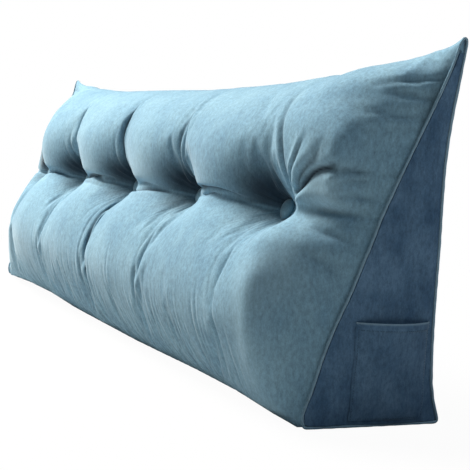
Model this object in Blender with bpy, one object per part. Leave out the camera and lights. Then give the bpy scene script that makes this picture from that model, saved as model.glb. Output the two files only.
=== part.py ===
"""Wedge back cushion, 1.5 m long, with five buttoned tufts and a pocket on its right end.

Metres, +Z up. X runs along the cushion, the front faces -Y, and the flat base
lies on Z = 0. The origin is under the middle of the long axis, between the
front and back edges of the base.
"""
import math
from collections import namedtuple

import bmesh
import bpy
from mathutils import Matrix, Vector

for old in list(bpy.data.objects):
    bpy.data.objects.remove(old)

# Tufts: five buttons at one height, and how far each is pulled in
BUTTON_COUNT = 5
BUTTON_PITCH = 0.275
BUTTON_RADIUS = 0.0148
BUTTON_DOME = 0.0062
BUTTON_Y = -0.0455
BUTTON_Z = 0.264
FACE_TILT = math.radians(21.0)
SEAT_RADIUS = 0.0158
DIMPLE_DEPTH = 0.010
DIMPLE_RADIUS = 0.034

# Ends, left (-1) and right (1): the side panel's foot, its turn and its flare to the ear
END_X = {-1: 0.7230, 1: 0.7138}
END_TURN = 0.1385
END_FLARE = {-1: 0.0160, 1: 0.0251}
EAR_HEIGHT = 0.495
END_CROWN = 0.007
END_CROWN_WIDTH = 0.13

# Sheets and welts
GAP = 0.0003
PANEL_THICK = 0.0020
WELT_RADIUS = 0.0024
WELT_TIP_RADIUS = 0.0013
SEAM_LIFT = 0.0028
SEAM_CORNER = 0.0034

# Patch pocket on the right side panel
POCKET_FRONT_Y = -0.036
POCKET_BACK_Y = 0.067
POCKET_FOOT_Z = 0.0105
POCKET_TOP_Z = 0.137
POCKET_HEM = 0.011
POCKET_THICK = 0.0016
POCKET_HEM_THICK = 0.0028
POCKET_MOUTH = 0.0125

# Sections of the front and top cloth, from the front floor edge to the back seam:
# in a tuft's fold, in the middle of a lobe, in the middle of an end lobe (cheek), at a welt.
# steps is how many facets lead to the next section.
Section = namedtuple(
    "Section", "row steps valley_y valley_z lobe_y lobe_z cheek_y cheek_z end_y end_z")
LOWER = (
    Section("floor edge", 2, -0.093, 0.000, -0.094, 0.000, -0.094, 0.000, -0.094, 0.0028),
    Section("heel", 2, -0.109, 0.020, -0.111, 0.017, -0.109, 0.018, -0.096, 0.020),
    Section("under swell", 2, -0.1235, 0.052, -0.125, 0.049, -0.118, 0.050, -0.086, 0.049),
    Section("low swell", 2, -0.138, 0.088, -0.140, 0.087, -0.122, 0.088, -0.074, 0.092),
    Section("swell", 2, -0.147, 0.125, -0.152, 0.127, -0.118, 0.128, -0.060, 0.132),
    Section("high swell", 2, -0.138, 0.158, -0.150, 0.165, -0.108, 0.167, -0.044, 0.170),
    Section("upper swell", 3, -0.113, 0.194, -0.135, 0.202, -0.091, 0.204, -0.031, 0.207),
    Section("over swell", 3, -0.083, 0.228, -0.110, 0.239, -0.073, 0.238, -0.020, 0.238),
    Section("waist", 3, -0.050, 0.262, -0.081, 0.270, -0.058, 0.267, -0.012, 0.264),
)
UPPER = (
    Section("waist", 3, -0.050, 0.262, -0.081, 0.270, -0.058, 0.267, -0.012, 0.264),
    Section("breast foot", 3, -0.056, 0.297, -0.093, 0.288, -0.049, 0.294, -0.001, 0.293),
    Section("breast", 2, -0.067, 0.335, -0.100, 0.322, -0.038, 0.326, 0.012, 0.326),
    Section("high breast", 2, -0.070, 0.362, -0.096, 0.356, -0.023, 0.360, 0.026, 0.361),
    Section("shoulder foot", 2, -0.062, 0.392, -0.079, 0.387, -0.002, 0.392, 0.039, 0.393),
    Section("shoulder", 2, -0.0425, 0.422, -0.053, 0.415, 0.018, 0.419, 0.050, 0.421),
    Section("high shoulder", 2, -0.014, 0.4395, -0.020, 0.435, 0.034, 0.438, 0.059, 0.445),
    Section("top", 2, 0.020, 0.447, 0.015, 0.4465, 0.049, 0.450, 0.0660, 0.466),
    Section("top back", 2, 0.057, 0.4475, 0.053, 0.4475, 0.066, 0.457, 0.0700, 0.484),
    Section("back seam", 2, 0.086, 0.4415, 0.086, 0.4425, 0.085, 0.457, 0.0750, 0.4945),
)

# Sections of the back cloth, from the back seam down to the back floor edge
Back = namedtuple("Back", "row steps mid_y mid_z end_y end_z")
BACK = (
    Back("back seam", 2, 0.086, 0.4420, 0.0750, 0.4945),
    Back("under seam", 2, 0.092, 0.4180, 0.0800, 0.484),
    Back("upper back", 1, 0.098, 0.360, 0.0725, 0.405),
    Back("high back", 1, 0.102, 0.290, 0.0700, 0.330),
    Back("mid back", 1, 0.104, 0.215, 0.0745, 0.235),
    Back("low back", 1, 0.104, 0.140, 0.0765, 0.140),
    Back("back heel", 2, 0.101, 0.060, 0.0810, 0.055),
    Back("back foot", 2, 0.097, 0.015, 0.0905, 0.016),
    Back("back floor edge", 2, 0.086, 0.000, 0.0950, 0.0028),
)

# How full each stuffed lobe is, from the far end to the pocket end
Lobe = namedtuple("Lobe", "place upper lower")
LOBES = (
    Lobe("far end", 0.85, 0.80),
    Lobe("second", 1.00, 0.97),
    Lobe("third", 1.04, 1.02),
    Lobe("fourth", 0.98, 1.00),
    Lobe("fifth", 1.05, 1.03),
    Lobe("pocket end", 1.00, 1.05),
)

# How far each tuft's fold is filled out towards its lobes, from the top down to the floor
Tuft = namedtuple("Tuft", "place top upper lower foot lean_top lean_foot")
TUFT_FOLDS = (
    Tuft("far", 0.00, 0.10, 0.15, 0.45, 0.030, 0.014),
    Tuft("second", 0.40, 0.25, 0.50, 0.60, 0.0, 0.0),
    Tuft("third", 0.25, 0.15, 0.40, 0.45, 0.0, 0.0),
    Tuft("fourth", 0.75, 0.42, 0.65, 0.75, 0.0, 0.0),
    Tuft("near", 0.95, 0.30, 0.65, 1.00, 0.0, 0.0),
)
FOLD_STOPS = (2.6, 6.4, 7.9, 8.1, 10.5, 14.5)

# The rounded end lobe beside the pocket, and how far it swells at the waist and low down
END_ROUND = 1.9
WAIST_OPEN = 0.9
WAIST_CHEEK = 0.028
LOW_CHEEK = 0.007

# Rise and sag of the top edge, and lift of the front floor edge, by place along the cushion
TOP_LINE = ((-0.70, 0.000), (-0.45, 0.004), (-0.14, 0.000), (0.00, -0.003), (0.14, -0.006), (0.30, -0.006),
            (0.45, -0.009), (0.56, -0.009), (0.62, -0.003), (0.70, 0.003), (0.74, 0.000))
HEM_LINE = ((-0.72, 0.000), (-0.60, 0.005), (-0.51, 0.008), (-0.36, 0.009), (-0.20, 0.0035), (0.02, 0.0025),
            (0.15, 0.0025), (0.25, 0.004), (0.39, 0.0065), (0.52, 0.0065), (0.626, 0.0015), (0.69, 0.000))

# Soft folds that run out from the tufts, on the front as it is seen face on
Fold = namedtuple("Fold", "button side rise length width depth")
FOLDS = (
    Fold(0, 1, 0.35, 0.080, 0.022, 0.007),
    Fold(0, -1, 0.30, 0.090, 0.022, 0.007),
    Fold(1, 1, -0.30, 0.080, 0.022, 0.007),
    Fold(2, 1, 0.40, 0.080, 0.022, 0.007),
    Fold(3, 1, -0.35, 0.080, 0.022, 0.007),
    Fold(4, 1, 1.15, 0.110, 0.024, 0.010),
    Fold(4, 1, 0.30, 0.130, 0.024, 0.013),
    Fold(4, 1, -0.38, 0.130, 0.024, 0.011),
    Fold(4, 1, -1.60, 0.130, 0.026, 0.010),
)

# Rise of the top towards the ears, and the loose back cloth behind the right ear
EAR_RISE = {-1: 0.030, 1: 0.024}
EAR_RISE_FROM = 0.25
EAR_RISE_FULL = 0.70
FLAP_OUT = 0.014
FLAP_Z = 0.425
FLAP_HALF = 0.048

# Where the rings lie, as shares of half a pitch and of an end lobe
LOBE_STEPS = (0.04, 0.11, 0.23, 0.40, 0.60, 0.80)
END_STEPS = {
    -1: (0.035, 0.10, 0.20, 0.33, 0.48, 0.63, 0.77, 0.88, 0.95, 0.985, 1.0),
    1: (0.035, 0.085, 0.14, 0.20, 0.27, 0.35, 0.45, 0.56, 0.67, 0.78, 0.88, 0.95, 0.985, 1.0),
}
FLOOR_STEPS = 3
CAP_RINGS = (0.93, 0.78, 0.56, 0.30)

COLOURS = {
    "cloth": (0.21, 0.38, 0.47, 1.0),
    "panel": (0.19, 0.35, 0.44, 1.0),
    "welt": (0.17, 0.32, 0.41, 1.0),
    "pocket": (0.20, 0.36, 0.45, 1.0),
    "button": (0.16, 0.30, 0.39, 1.0),
}


def smooth(t):
    """Ease from 0 to 1."""
    t = min(max(t, 0.0), 1.0)
    return t * t * (3.0 - 2.0 * t)


def curve(points, steps):
    """A smooth curve through 2-D points, with a count of steps from each to the next."""
    ends = [2 * points[0] - points[1]] + list(points) + [2 * points[-1] - points[-2]]
    out = []
    for i in range(1, len(ends) - 2):
        a, b, c, d = ends[i - 1 : i + 3]
        for k in range(steps[i - 1]):
            t = k / steps[i - 1]
            out.append(0.5 * (2 * b + (c - a) * t + (2 * a - 5 * b + 4 * c - d) * t * t
                              + (3 * b - a - 3 * c + d) * t ** 3))
    out.append(points[-1])
    return out


def section_curves(y_name, z_name):
    """The lower and upper spans of one section, joined at the waist."""
    spans = []
    for table in (LOWER, UPPER):
        points = [Vector((getattr(s, y_name), getattr(s, z_name))) for s in table]
        spans.append(curve(points, [s.steps for s in table]))
    return spans[0] + spans[1][1:]


VALLEY = section_curves("valley_y", "valley_z")
LOBE = section_curves("lobe_y", "lobe_z")
CHEEK = section_curves("cheek_y", "cheek_z")
END = section_curves("end_y", "end_z")
BACK_MID = curve([Vector((b.mid_y, b.mid_z)) for b in BACK], [b.steps for b in BACK])[1:]
BACK_END = curve([Vector((b.end_y, b.end_z)) for b in BACK], [b.steps for b in BACK])[1:]
WAIST = sum(s.steps for s in LOWER[:-1])
WAIST_PLACE = len(LOWER) - 1


def row_places():
    """Each row's place among the sections, from 0 at the floor edge to 17 at the back seam."""
    sections = LOWER[:-1] + UPPER
    places = []
    for i, section in enumerate(sections[:-1]):
        places += [i + k / section.steps for k in range(section.steps)]
    return places + [len(sections) - 1]


PLACES = row_places()


def edge_at(points, z):
    """The y of a seam line at height z."""
    for a, b in zip(points, points[1:]):
        low, high = (a, b) if a.y <= b.y else (b, a)
        if low.y <= z <= high.y and high.y > low.y:
            return low.x + (high.x - low.x) * (z - low.y) / (high.y - low.y)
    nearest = min(points, key=lambda p: abs(p.y - z))
    return nearest.x


def end_surface(y, z, side):
    """How far out a side panel's surface lies, without its sign."""
    front, back = edge_at(END, z), edge_at(BACK_END, z)
    across = min(max((y - front) / max(back - front, 0.001), 0.0), 1.0)
    height = min(max(z / EAR_HEIGHT, 0.0), 1.0)
    crown = END_CROWN * 4.0 * across * (1.0 - across) * math.sin(math.pi * height) ** 0.6
    crown *= smooth((back - front) / END_CROWN_WIDTH)
    return END_X[side] + END_TURN * y + END_FLARE[side] * height * height + crown


def button_x(index):
    """Place of one button along the cushion."""
    return (index - (BUTTON_COUNT - 1) / 2.0) * BUTTON_PITCH


def crest(t):
    """Fullness across half a lobe: steep at the fold, flat at the middle."""
    return math.sin(0.5 * math.pi * min(t, 1.0)) ** 0.88


def end_crest(t):
    """Fullness across an end lobe: from the last tuft's fold to the welt."""
    return math.sin(math.pi * t ** 0.9) if 0.0 < t < 1.0 else 0.0


def line_at(line, x):
    """The value at x of a line given by pairs of place and value."""
    for (x0, v0), (x1, v1) in zip(line, line[1:]):
        if x0 <= x <= x1:
            return v0 + (v1 - v0) * (x - x0) / (x1 - x0)
    return line[0][1] if x < line[0][0] else line[-1][1]


def end_ease(t, near_top):
    """How far an end lobe has turned into the welt's line: late near the ear."""
    slope = smooth(t) * 0.6 + t * 0.4
    return slope + (t ** 1.6 - slope) * near_top


def fold_push(x, y, z):
    """How far the soft folds and the tufts' dimples press the front in."""
    push = 0.0
    for index in range(BUTTON_COUNT):
        away = math.hypot(x - button_x(index), (z - BUTTON_Z) / math.cos(FACE_TILT))
        push += DIMPLE_DEPTH * math.exp(-((away / DIMPLE_RADIUS) ** 2))
    for fold in FOLDS:
        run = Vector((fold.side, fold.rise)).normalized()
        point = Vector((x - button_x(fold.button), z - BUTTON_Z))
        along = point.dot(run)
        if 0.0 < along < fold.length:
            across = abs(point.x * run.y - point.y * run.x)
            fade = math.sin(math.pi * (along / fold.length) ** 0.7)
            push += fold.depth * fade * math.exp(-((across / (0.5 * fold.width)) ** 2))
    return push


def tuft_fold(row, tuft):
    """One point of a tuft's fold, filled out towards its lobes."""
    place, folds = PLACES[row], TUFT_FOLDS[tuft]
    stages = (folds.foot, folds.lower, 0.0, 0.0, folds.upper, folds.top)
    filled = folds.foot
    for k in range(len(FOLD_STOPS) - 1):
        step = smooth((place - FOLD_STOPS[k]) / (FOLD_STOPS[k + 1] - FOLD_STOPS[k]))
        filled += (stages[k + 1] - stages[k]) * step
    fold = VALLEY[row].lerp(LOBE[row], filled)
    fold.x += folds.lean_top * smooth((place - 9.2) / 2.3) * (1.0 - smooth((place - 13.5) / 3.5))
    fold.x += folds.lean_foot * math.exp(-((place - 4.2) / 1.8) ** 2)
    return fold


def front_point(row, x_share, zone, lobe, tuft):
    """One point of the front or top cloth. zone is 0 inside, -1 or 1 at an end."""
    place = PLACES[row]
    above = smooth((place - WAIST_PLACE + 0.33) / 0.67)
    fullness = lobe.lower + (lobe.upper - lobe.lower) * above
    valley, cheek, end = VALLEY[row], CHEEK[row], END[row]
    fold = tuft_fold(row, tuft)
    if zone == 0:
        return fold.lerp(valley.lerp(LOBE[row], fullness), crest(x_share))
    near_top = smooth((place - 13.6) / 3.0)
    at_waist = math.exp(-((place - WAIST_PLACE) / 1.3) ** 2)
    swell = end_crest(x_share) * (1.0 - at_waist * (1.0 - smooth(x_share / 0.40)))
    base = fold.lerp(end, end_ease(x_share, near_top))
    middle = valley.lerp(end, end_ease(0.5, near_top))
    point = base + (cheek - middle) * fullness * swell
    if zone > 0:
        turned = END_ROUND - WAIST_OPEN * math.exp(-((place - WAIST_PLACE) / 1.6) ** 2)
        out = math.sin(math.pi * x_share ** 0.85) * smooth((x_share - 0.10) / 0.35)
        low = smooth(place / 2.0) * smooth((6.8 - place) / 2.0)
        y = fold.x + (end.x - fold.x) * x_share ** turned - WAIST_CHEEK * at_waist * out
        y -= LOW_CHEEK * low * math.sin(math.pi * x_share ** 0.7)
        point.x += (y - point.x) * (1.0 - near_top)
    return point


def ring(zone, tuft, x_share, lobe, way=1):
    """One ring of the body: x_share counts from the tuft, and way is on which side it lies."""
    near = button_x(tuft)
    flat = []
    for row in range(len(VALLEY)):
        flat.append(front_point(row, x_share, zone, lobe, tuft))
    for k, (mid, end) in enumerate(zip(BACK_MID, BACK_END)):
        near_top = smooth(1.0 - k / 5.0)
        ease = smooth(x_share) + (x_share ** 1.6 - smooth(x_share)) * near_top
        flat.append(mid.lerp(end, ease if zone else 0.0))
    first, last = flat[0], flat[-1]
    floor = [last.lerp(first, (k + 1) / (FLOOR_STEPS + 1)) for k in range(FLOOR_STEPS)]
    points = []
    for k, p in enumerate(flat + floor):
        y, z = p
        if zone:
            far = end_surface(y, z, zone) - PANEL_THICK - 2 * GAP
            x = near + zone * x_share * (far - abs(near))
        else:
            x = near + way * x_share * BUTTON_PITCH / 2.0
        if 0 < k < len(VALLEY) - 1:
            push = fold_push(x, y, z) * smooth((0.43 - z) / 0.06) * smooth(z / 0.05)
            if zone:
                push *= smooth((1.0 - x_share) / 0.25)
            y += push * math.cos(FACE_TILT)
            z -= push * math.sin(FACE_TILT)
        rise = max(0.0, (abs(x) - EAR_RISE_FROM) / (EAR_RISE_FULL - EAR_RISE_FROM)) ** 1.5
        rise *= EAR_RISE[-1 if x < 0 else 1] * smooth((z - 0.40) / 0.05)
        z += rise * (1.0 - smooth((x_share - 0.25) / 0.7) if zone else 1.0)
        z += line_at(TOP_LINE, x) * smooth((z - 0.37) / 0.07)
        hem = line_at(HEM_LINE, x) if k < len(VALLEY) else 0.0
        z += hem * (1.0 - smooth(PLACES[k] / 2.5)) if hem else 0.0
        if zone > 0 and len(VALLEY) <= k < len(flat):
            height = max(0.0, 1.0 - ((z - FLAP_Z) / FLAP_HALF) ** 2)
            y += FLAP_OUT * height * smooth((x_share - 0.45) / 0.3) * smooth((1.02 - x_share) / 0.14)
        if k == 0 or k >= len(flat) - 1:
            z = max(hem, SEAM_LIFT * smooth((x_share - 0.90) / 0.10) if zone else 0.0)
        points.append(Vector((x, y, max(z, 0.0))))
    return points


def all_rings():
    """Every ring from the far end to the pocket end."""
    rings = []
    for share in reversed(END_STEPS[-1]):
        rings.append(ring(-1, 0, share, LOBES[0]))
    for index in range(BUTTON_COUNT):
        rings.append(ring(0, index, 0.0, LOBES[index]))
        if index < BUTTON_COUNT - 1:
            lobe = LOBES[index + 1]
            shares = list(LOBE_STEPS) + [1.0]
            for share in shares:
                rings.append(ring(0, index, share, lobe))
            for share in reversed(LOBE_STEPS):
                rings.append(ring(0, index + 1, share, lobe, -1))
    for share in END_STEPS[1]:
        rings.append(ring(1, BUTTON_COUNT - 1, share, LOBES[-1]))
    return rings


def make_material(name, colour):
    """A matt cloth material."""
    material = bpy.data.materials.new(name)
    material.use_nodes = True
    shader = material.node_tree.nodes["Principled BSDF"]
    shader.inputs["Base Color"].default_value = colour
    shader.inputs["Roughness"].default_value = 0.9
    shader.inputs["Metallic"].default_value = 0.0
    return material


def make_object(name, mesh_data, material_name):
    """Link one object that holds the bmesh, shaded smooth, with its own material."""
    bmesh.ops.recalc_face_normals(mesh_data, faces=mesh_data.faces)
    mesh = bpy.data.meshes.new(name)
    mesh_data.to_mesh(mesh)
    mesh_data.free()
    mesh.shade_smooth()
    mesh.set_sharp_from_angle(angle=math.radians(50.0))
    mesh.materials.append(make_material(name + "_cloth", COLOURS[material_name]))
    made = bpy.data.objects.new(name, mesh)
    bpy.context.scene.collection.objects.link(made)
    return made


def bridge(mesh_data, lower, upper):
    """Quads between two closed loops of the same count."""
    count = len(lower)
    for k in range(count):
        n = (k + 1) % count
        mesh_data.faces.new((lower[k], lower[n], upper[n], upper[k]))


def cap(mesh_data, loop, side, out):
    """Close one end of the body with crowned rings that shrink to a point."""
    centre = sum((v.co for v in loop), Vector()) / len(loop)
    rim = [v.co.copy() for v in loop]
    previous = loop
    for scale in CAP_RINGS:
        verts = []
        for p in rim:
            y = centre.y + (p.y - centre.y) * scale
            z = centre.z + (p.z - centre.z) * scale
            verts.append(mesh_data.verts.new((side * (end_surface(y, z, side) - out), y, z)))
        bridge(mesh_data, previous, verts)
        previous = verts
    x = side * (end_surface(centre.y, centre.z, side) - out)
    tip = mesh_data.verts.new((x, centre.y, centre.z))
    for k in range(len(previous)):
        mesh_data.faces.new((previous[k], previous[(k + 1) % len(previous)], tip))


def build_body():
    """The filled wedge with its tufts, one closed solid with round button seats."""
    mesh_data = bmesh.new()
    loops = []
    for points in all_rings():
        loops.append([mesh_data.verts.new(p) for p in points])
    for lower, upper in zip(loops, loops[1:]):
        bridge(mesh_data, lower, upper)
    cap(mesh_data, loops[0], -1, PANEL_THICK + 2 * GAP)
    cap(mesh_data, loops[-1], 1, PANEL_THICK + 2 * GAP)
    bmesh.ops.triangulate(mesh_data, faces=mesh_data.faces)
    body = make_object("cushion_body", mesh_data, "cloth")

    seats = bmesh.new()
    for index in range(BUTTON_COUNT):
        place = button_frame(index) @ Matrix.Translation((0.0, 0.0, 0.04))
        bmesh.ops.create_cone(seats, cap_ends=True, segments=28, radius1=SEAT_RADIUS,
                              radius2=SEAT_RADIUS, depth=0.08, matrix=place)
    mesh = bpy.data.meshes.new("button_seats")
    seats.to_mesh(mesh)
    seats.free()
    cutter = bpy.data.objects.new("button_seats", mesh)
    cutter.display_type = "WIRE"
    cutter.hide_render = True
    bpy.context.scene.collection.objects.link(cutter)
    cut = body.modifiers.new("button_seats", "BOOLEAN")
    cut.operation = "DIFFERENCE"
    cut.object = cutter
    return body


def button_frame(index):
    """Frame at a button's seat, its Z axis straight out of the cushion's front."""
    turn = Matrix.Rotation(math.radians(90.0) - FACE_TILT, 4, "X")
    return Matrix.Translation((button_x(index), BUTTON_Y, BUTTON_Z)) @ turn


def build_button(index):
    """One cloth-covered button: a low dome with a flat back on its seat."""
    mesh_data = bmesh.new()
    bmesh.ops.create_uvsphere(mesh_data, u_segments=20, v_segments=10, radius=1.0)
    for v in mesh_data.verts:
        v.co.z = max(v.co.z, -0.35)
    flat = [f for f in mesh_data.faces if all(v.co.z < -0.34 for v in f.verts)]
    bmesh.ops.dissolve_faces(mesh_data, faces=flat)
    loose = [v for v in mesh_data.verts if not v.link_faces]
    bmesh.ops.delete(mesh_data, geom=loose, context="VERTS")
    for v in mesh_data.verts:
        v.co.x *= BUTTON_RADIUS
        v.co.y *= BUTTON_RADIUS
        v.co.z = (v.co.z + 0.35) * BUTTON_DOME / 1.35 + GAP
    made = make_object("button_%d" % (index + 1), mesh_data, "button")
    made.matrix_world = button_frame(index)
    return made


def sheet(name, material_name, grid_in, grid_out):
    """A closed thin sheet between two grids of points with the same rows."""
    mesh_data = bmesh.new()
    sides = []
    for grid in (grid_in, grid_out):
        sides.append([[mesh_data.verts.new(p) for p in row] for row in grid])
    rows, cols = len(grid_in), len(grid_in[0])
    for side in sides:
        for r in range(rows - 1):
            for c in range(cols - 1):
                mesh_data.faces.new((side[r][c], side[r][c + 1], side[r + 1][c + 1], side[r + 1][c]))
    rims = []
    for side in sides:
        around = [side[0][c] for c in range(cols)]
        around += [side[r][-1] for r in range(1, rows)]
        around += [side[-1][c] for c in range(cols - 2, -1, -1)]
        around += [side[r][0] for r in range(rows - 2, 0, -1)]
        rims.append(around)
    bridge(mesh_data, rims[0], rims[1])
    bmesh.ops.triangulate(mesh_data, faces=mesh_data.faces)
    return make_object(name, mesh_data, material_name)


def build_panel(name, side):
    """A side panel inside its welt, crowned with the body's end behind it."""
    inset = WELT_RADIUS + 2 * GAP
    foot = SEAM_LIFT + inset
    top = 0.474
    heights = [foot, foot + 0.006, 0.020, 0.032, 0.045] + [0.045 + (top - 0.045) * k / 16 for k in range(1, 17)]
    grid_in, grid_out = [], []
    for k, z in enumerate(heights):
        corner = 0.006 if k == 0 else 0.0
        y0 = edge_at(END, z) + inset * 1.12 + corner
        y1 = edge_at(BACK_END, z) - inset * 1.05 - corner - (0.0010 if k < 5 else 0.0)
        row_in, row_out = [], []
        for c in range(7):
            y = y0 + (y1 - y0) * c / 6
            out = end_surface(y, z, side)
            row_in.append(Vector((side * (out - PANEL_THICK), y, z)))
            row_out.append(Vector((side * out, y, z)))
        grid_in.append(row_in)
        grid_out.append(row_out)
    return sheet(name, "panel", grid_in, grid_out)


def rounded_corner(before, corner, after, radius, steps):
    """An arc that takes the place of one sharp corner of a path."""
    u, v = (before - corner).normalized(), (after - corner).normalized()
    half = 0.5 * u.angle(v)
    centre = corner + (u + v).normalized() * radius / math.sin(half)
    start = corner + u * radius / math.tan(half)
    stop = corner + v * radius / math.tan(half)
    points = []
    for k in range(steps + 1):
        spoke = (start - centre).lerp(stop - centre, k / steps).normalized()
        points.append(centre + spoke * radius)
    return points


def welt_path():
    """The seam line round a side panel, as (y, z), with its two foot corners rounded."""
    front, back = END[0], BACK_END[-1]
    path = rounded_corner(back, front, END[2], SEAM_CORNER, 4)
    path += [p for p in END[1:] if (p - path[4]).length > 0.005 and p.y > path[4].y]
    path += list(BACK_END[:-1])
    foot = rounded_corner(BACK_END[-3], back, front, SEAM_CORNER, 4)
    path = [p for p in path if (p - back).length > 0.010] + foot
    path += [foot[-1].lerp(path[0], k / 9) for k in range(1, 9)]
    return path


def build_welt(name, side):
    """The narrow welt round a side panel: one closed tube on the body's rim."""
    path = welt_path()
    mesh_data = bmesh.new()
    loops = []
    for k, p in enumerate(path):
        before, after = path[k - 1], path[(k + 1) % len(path)]
        run = (after - before).normalized()
        out = Vector((run.y, -run.x))
        near_tip = smooth((p.y - 0.42) / 0.06)
        radius = WELT_RADIUS + (WELT_TIP_RADIUS - WELT_RADIUS) * near_tip
        x = end_surface(p.x, p.y, side) - PANEL_THICK + radius
        loop = []
        for s in range(8):
            angle = 2 * math.pi * (s + 0.5) / 8
            flat = out * math.cos(angle) * radius
            loop.append(mesh_data.verts.new((side * (x + math.sin(angle) * radius),
                                             p.x + flat.x, p.y + flat.y)))
        loops.append(loop)
    for k in range(len(loops)):
        bridge(mesh_data, loops[k], loops[(k + 1) % len(loops)])
    bmesh.ops.triangulate(mesh_data, faces=mesh_data.faces)
    return make_object(name, mesh_data, "welt")


def pocket_stand(across, up):
    """How far the pocket stands off the panel: closed at its sides and foot."""
    return POCKET_MOUTH * math.sin(math.pi * across) ** 0.8 * math.sin(0.5 * math.pi * up) ** 0.6


def build_pocket():
    """The patch pocket, hemmed at its mouth and bagged a little open."""
    hem_foot = POCKET_TOP_Z - POCKET_HEM
    heights = [POCKET_FOOT_Z + (hem_foot - POCKET_FOOT_Z) * k / 10 for k in range(11)]
    heights += [hem_foot + 0.0006, POCKET_TOP_Z - 0.005, POCKET_TOP_Z]
    grid_in, grid_out = [], []
    for z in heights:
        up = (z - POCKET_FOOT_Z) / (POCKET_TOP_Z - POCKET_FOOT_Z)
        thick = POCKET_HEM_THICK if z > hem_foot + 0.0003 else POCKET_THICK
        row_in, row_out = [], []
        for c in range(15):
            across = c / 14
            y = POCKET_FRONT_Y + (POCKET_BACK_Y - POCKET_FRONT_Y) * across
            x = end_surface(y, z, 1) + 2 * GAP + pocket_stand(across, up)
            row_in.append(Vector((x, y, z)))
            row_out.append(Vector((x + thick, y, z)))
        grid_in.append(row_in)
        grid_out.append(row_out)
    return sheet("pocket_right", "pocket", grid_in, grid_out)


build_body()
for number in range(BUTTON_COUNT):
    build_button(number)
build_panel("side_panel_right", 1)
build_panel("side_panel_left", -1)
build_welt("piping_right", 1)
build_welt("piping_left", -1)
build_pocket()
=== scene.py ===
import math
from collections import namedtuple

import bmesh
import bpy
import numpy as np
from mathutils import Matrix, Vector


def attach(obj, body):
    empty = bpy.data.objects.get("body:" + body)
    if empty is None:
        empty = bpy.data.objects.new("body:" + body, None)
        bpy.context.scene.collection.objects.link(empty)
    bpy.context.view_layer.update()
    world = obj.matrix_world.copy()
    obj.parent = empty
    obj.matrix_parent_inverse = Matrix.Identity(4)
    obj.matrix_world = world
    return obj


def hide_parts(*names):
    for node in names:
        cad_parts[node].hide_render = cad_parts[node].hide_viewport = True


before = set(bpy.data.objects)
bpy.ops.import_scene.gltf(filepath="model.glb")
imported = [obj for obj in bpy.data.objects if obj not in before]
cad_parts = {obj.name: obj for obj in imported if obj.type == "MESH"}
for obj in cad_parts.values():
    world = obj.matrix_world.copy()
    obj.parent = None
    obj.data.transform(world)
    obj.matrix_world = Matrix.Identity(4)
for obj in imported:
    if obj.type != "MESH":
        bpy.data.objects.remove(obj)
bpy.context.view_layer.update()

# Camera: it stands off the pocket end, a little above the cushion's middle, and looks along
# the tufted front as the photograph does. Angles in degrees, lens and sensor in millimetres.
CAMERA_TURN = 62.40
CAMERA_RISE = 5.00
CAMERA_ROLL = 3.11
CAMERA_AWAY = 1.5942
CAMERA_TARGET = Vector((0.3112, 0.0, 0.2040))
SENSOR = 36.0
LENS = 75.83

turn, rise, roll = (math.radians(a) for a in (CAMERA_TURN, CAMERA_RISE, CAMERA_ROLL))
toward = Vector((math.sin(turn) * math.cos(rise), -math.cos(turn) * math.cos(rise), math.sin(rise)))
side = (-toward).cross(Vector((0, 0, 1))).normalized()
above = side.cross(-toward)
camera_data = bpy.data.cameras.new("photo_camera")
camera_data.lens = LENS
camera_data.sensor_width = SENSOR
camera = bpy.data.objects.new("photo_camera", camera_data)
axes = (side * math.cos(roll) + above * math.sin(roll),
        above * math.cos(roll) - side * math.sin(roll), toward)
camera.matrix_world = Matrix.Translation(CAMERA_TARGET + toward * CAMERA_AWAY) \
    @ Matrix(axes).transposed().to_4x4()
bpy.context.scene.collection.objects.link(camera)
bpy.context.scene.camera = camera

# Studio: a plain pale floor, one large soft light over the far front, a weak cool one at the
# pocket end, and pale surroundings that show white but light the cushion only a little.
FLOOR_SIZE = 30.0
FLOOR_DROP = -0.0008
FLOOR_ROUGH = 0.9
FLOOR_SEEN = 0.62
FLOOR_BOUNCE = 0.47
FLOOR_GLOW = 0.965
GLOW_NEAR, GLOW_FAR = 0.90, 1.60
KEY_PLACE = Vector((-2.58, -1.32, 3.80))
KEY_AIM = Vector((0.0, 0.0, 0.22))
KEY_SIZE = 1.9
KEY_POWER = 555.0
KEY_COLOUR = (1.0, 0.970, 0.910)
FILL_PLACE = Vector((1.6, 0.50, 1.25))
FILL_AIM = Vector((0.74, 0.0, 0.22))
FILL_SIZE = 1.0
FILL_POWER = 3.9
FILL_COLOUR = (0.82, 0.90, 1.0)
SKY_LIGHT = 0.09
SKY_SEEN = 1.0
SKY_TINT = (0.70, 0.87, 1.0, 1.0)
SKY_WHITE = (1.0, 1.0, 1.0, 1.0)


def placed(name, mesh):
    """A new object in the scene that holds a mesh or a lamp."""
    made = bpy.data.objects.new(name, mesh)
    bpy.context.scene.collection.objects.link(made)
    return made


def node(tree, kind, sockets=None, **settings):
    """Add a node to a tree. Each socket that is named takes a value or another node's output."""
    made = tree.nodes.new(kind)
    for name, value in settings.items():
        setattr(made, name, value)
    for name, value in (sockets or {}).items():
        if isinstance(value, bpy.types.NodeSocket):
            tree.links.new(value, made.inputs[name])
        else:
            made.inputs[name].default_value = value
    return made


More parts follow.
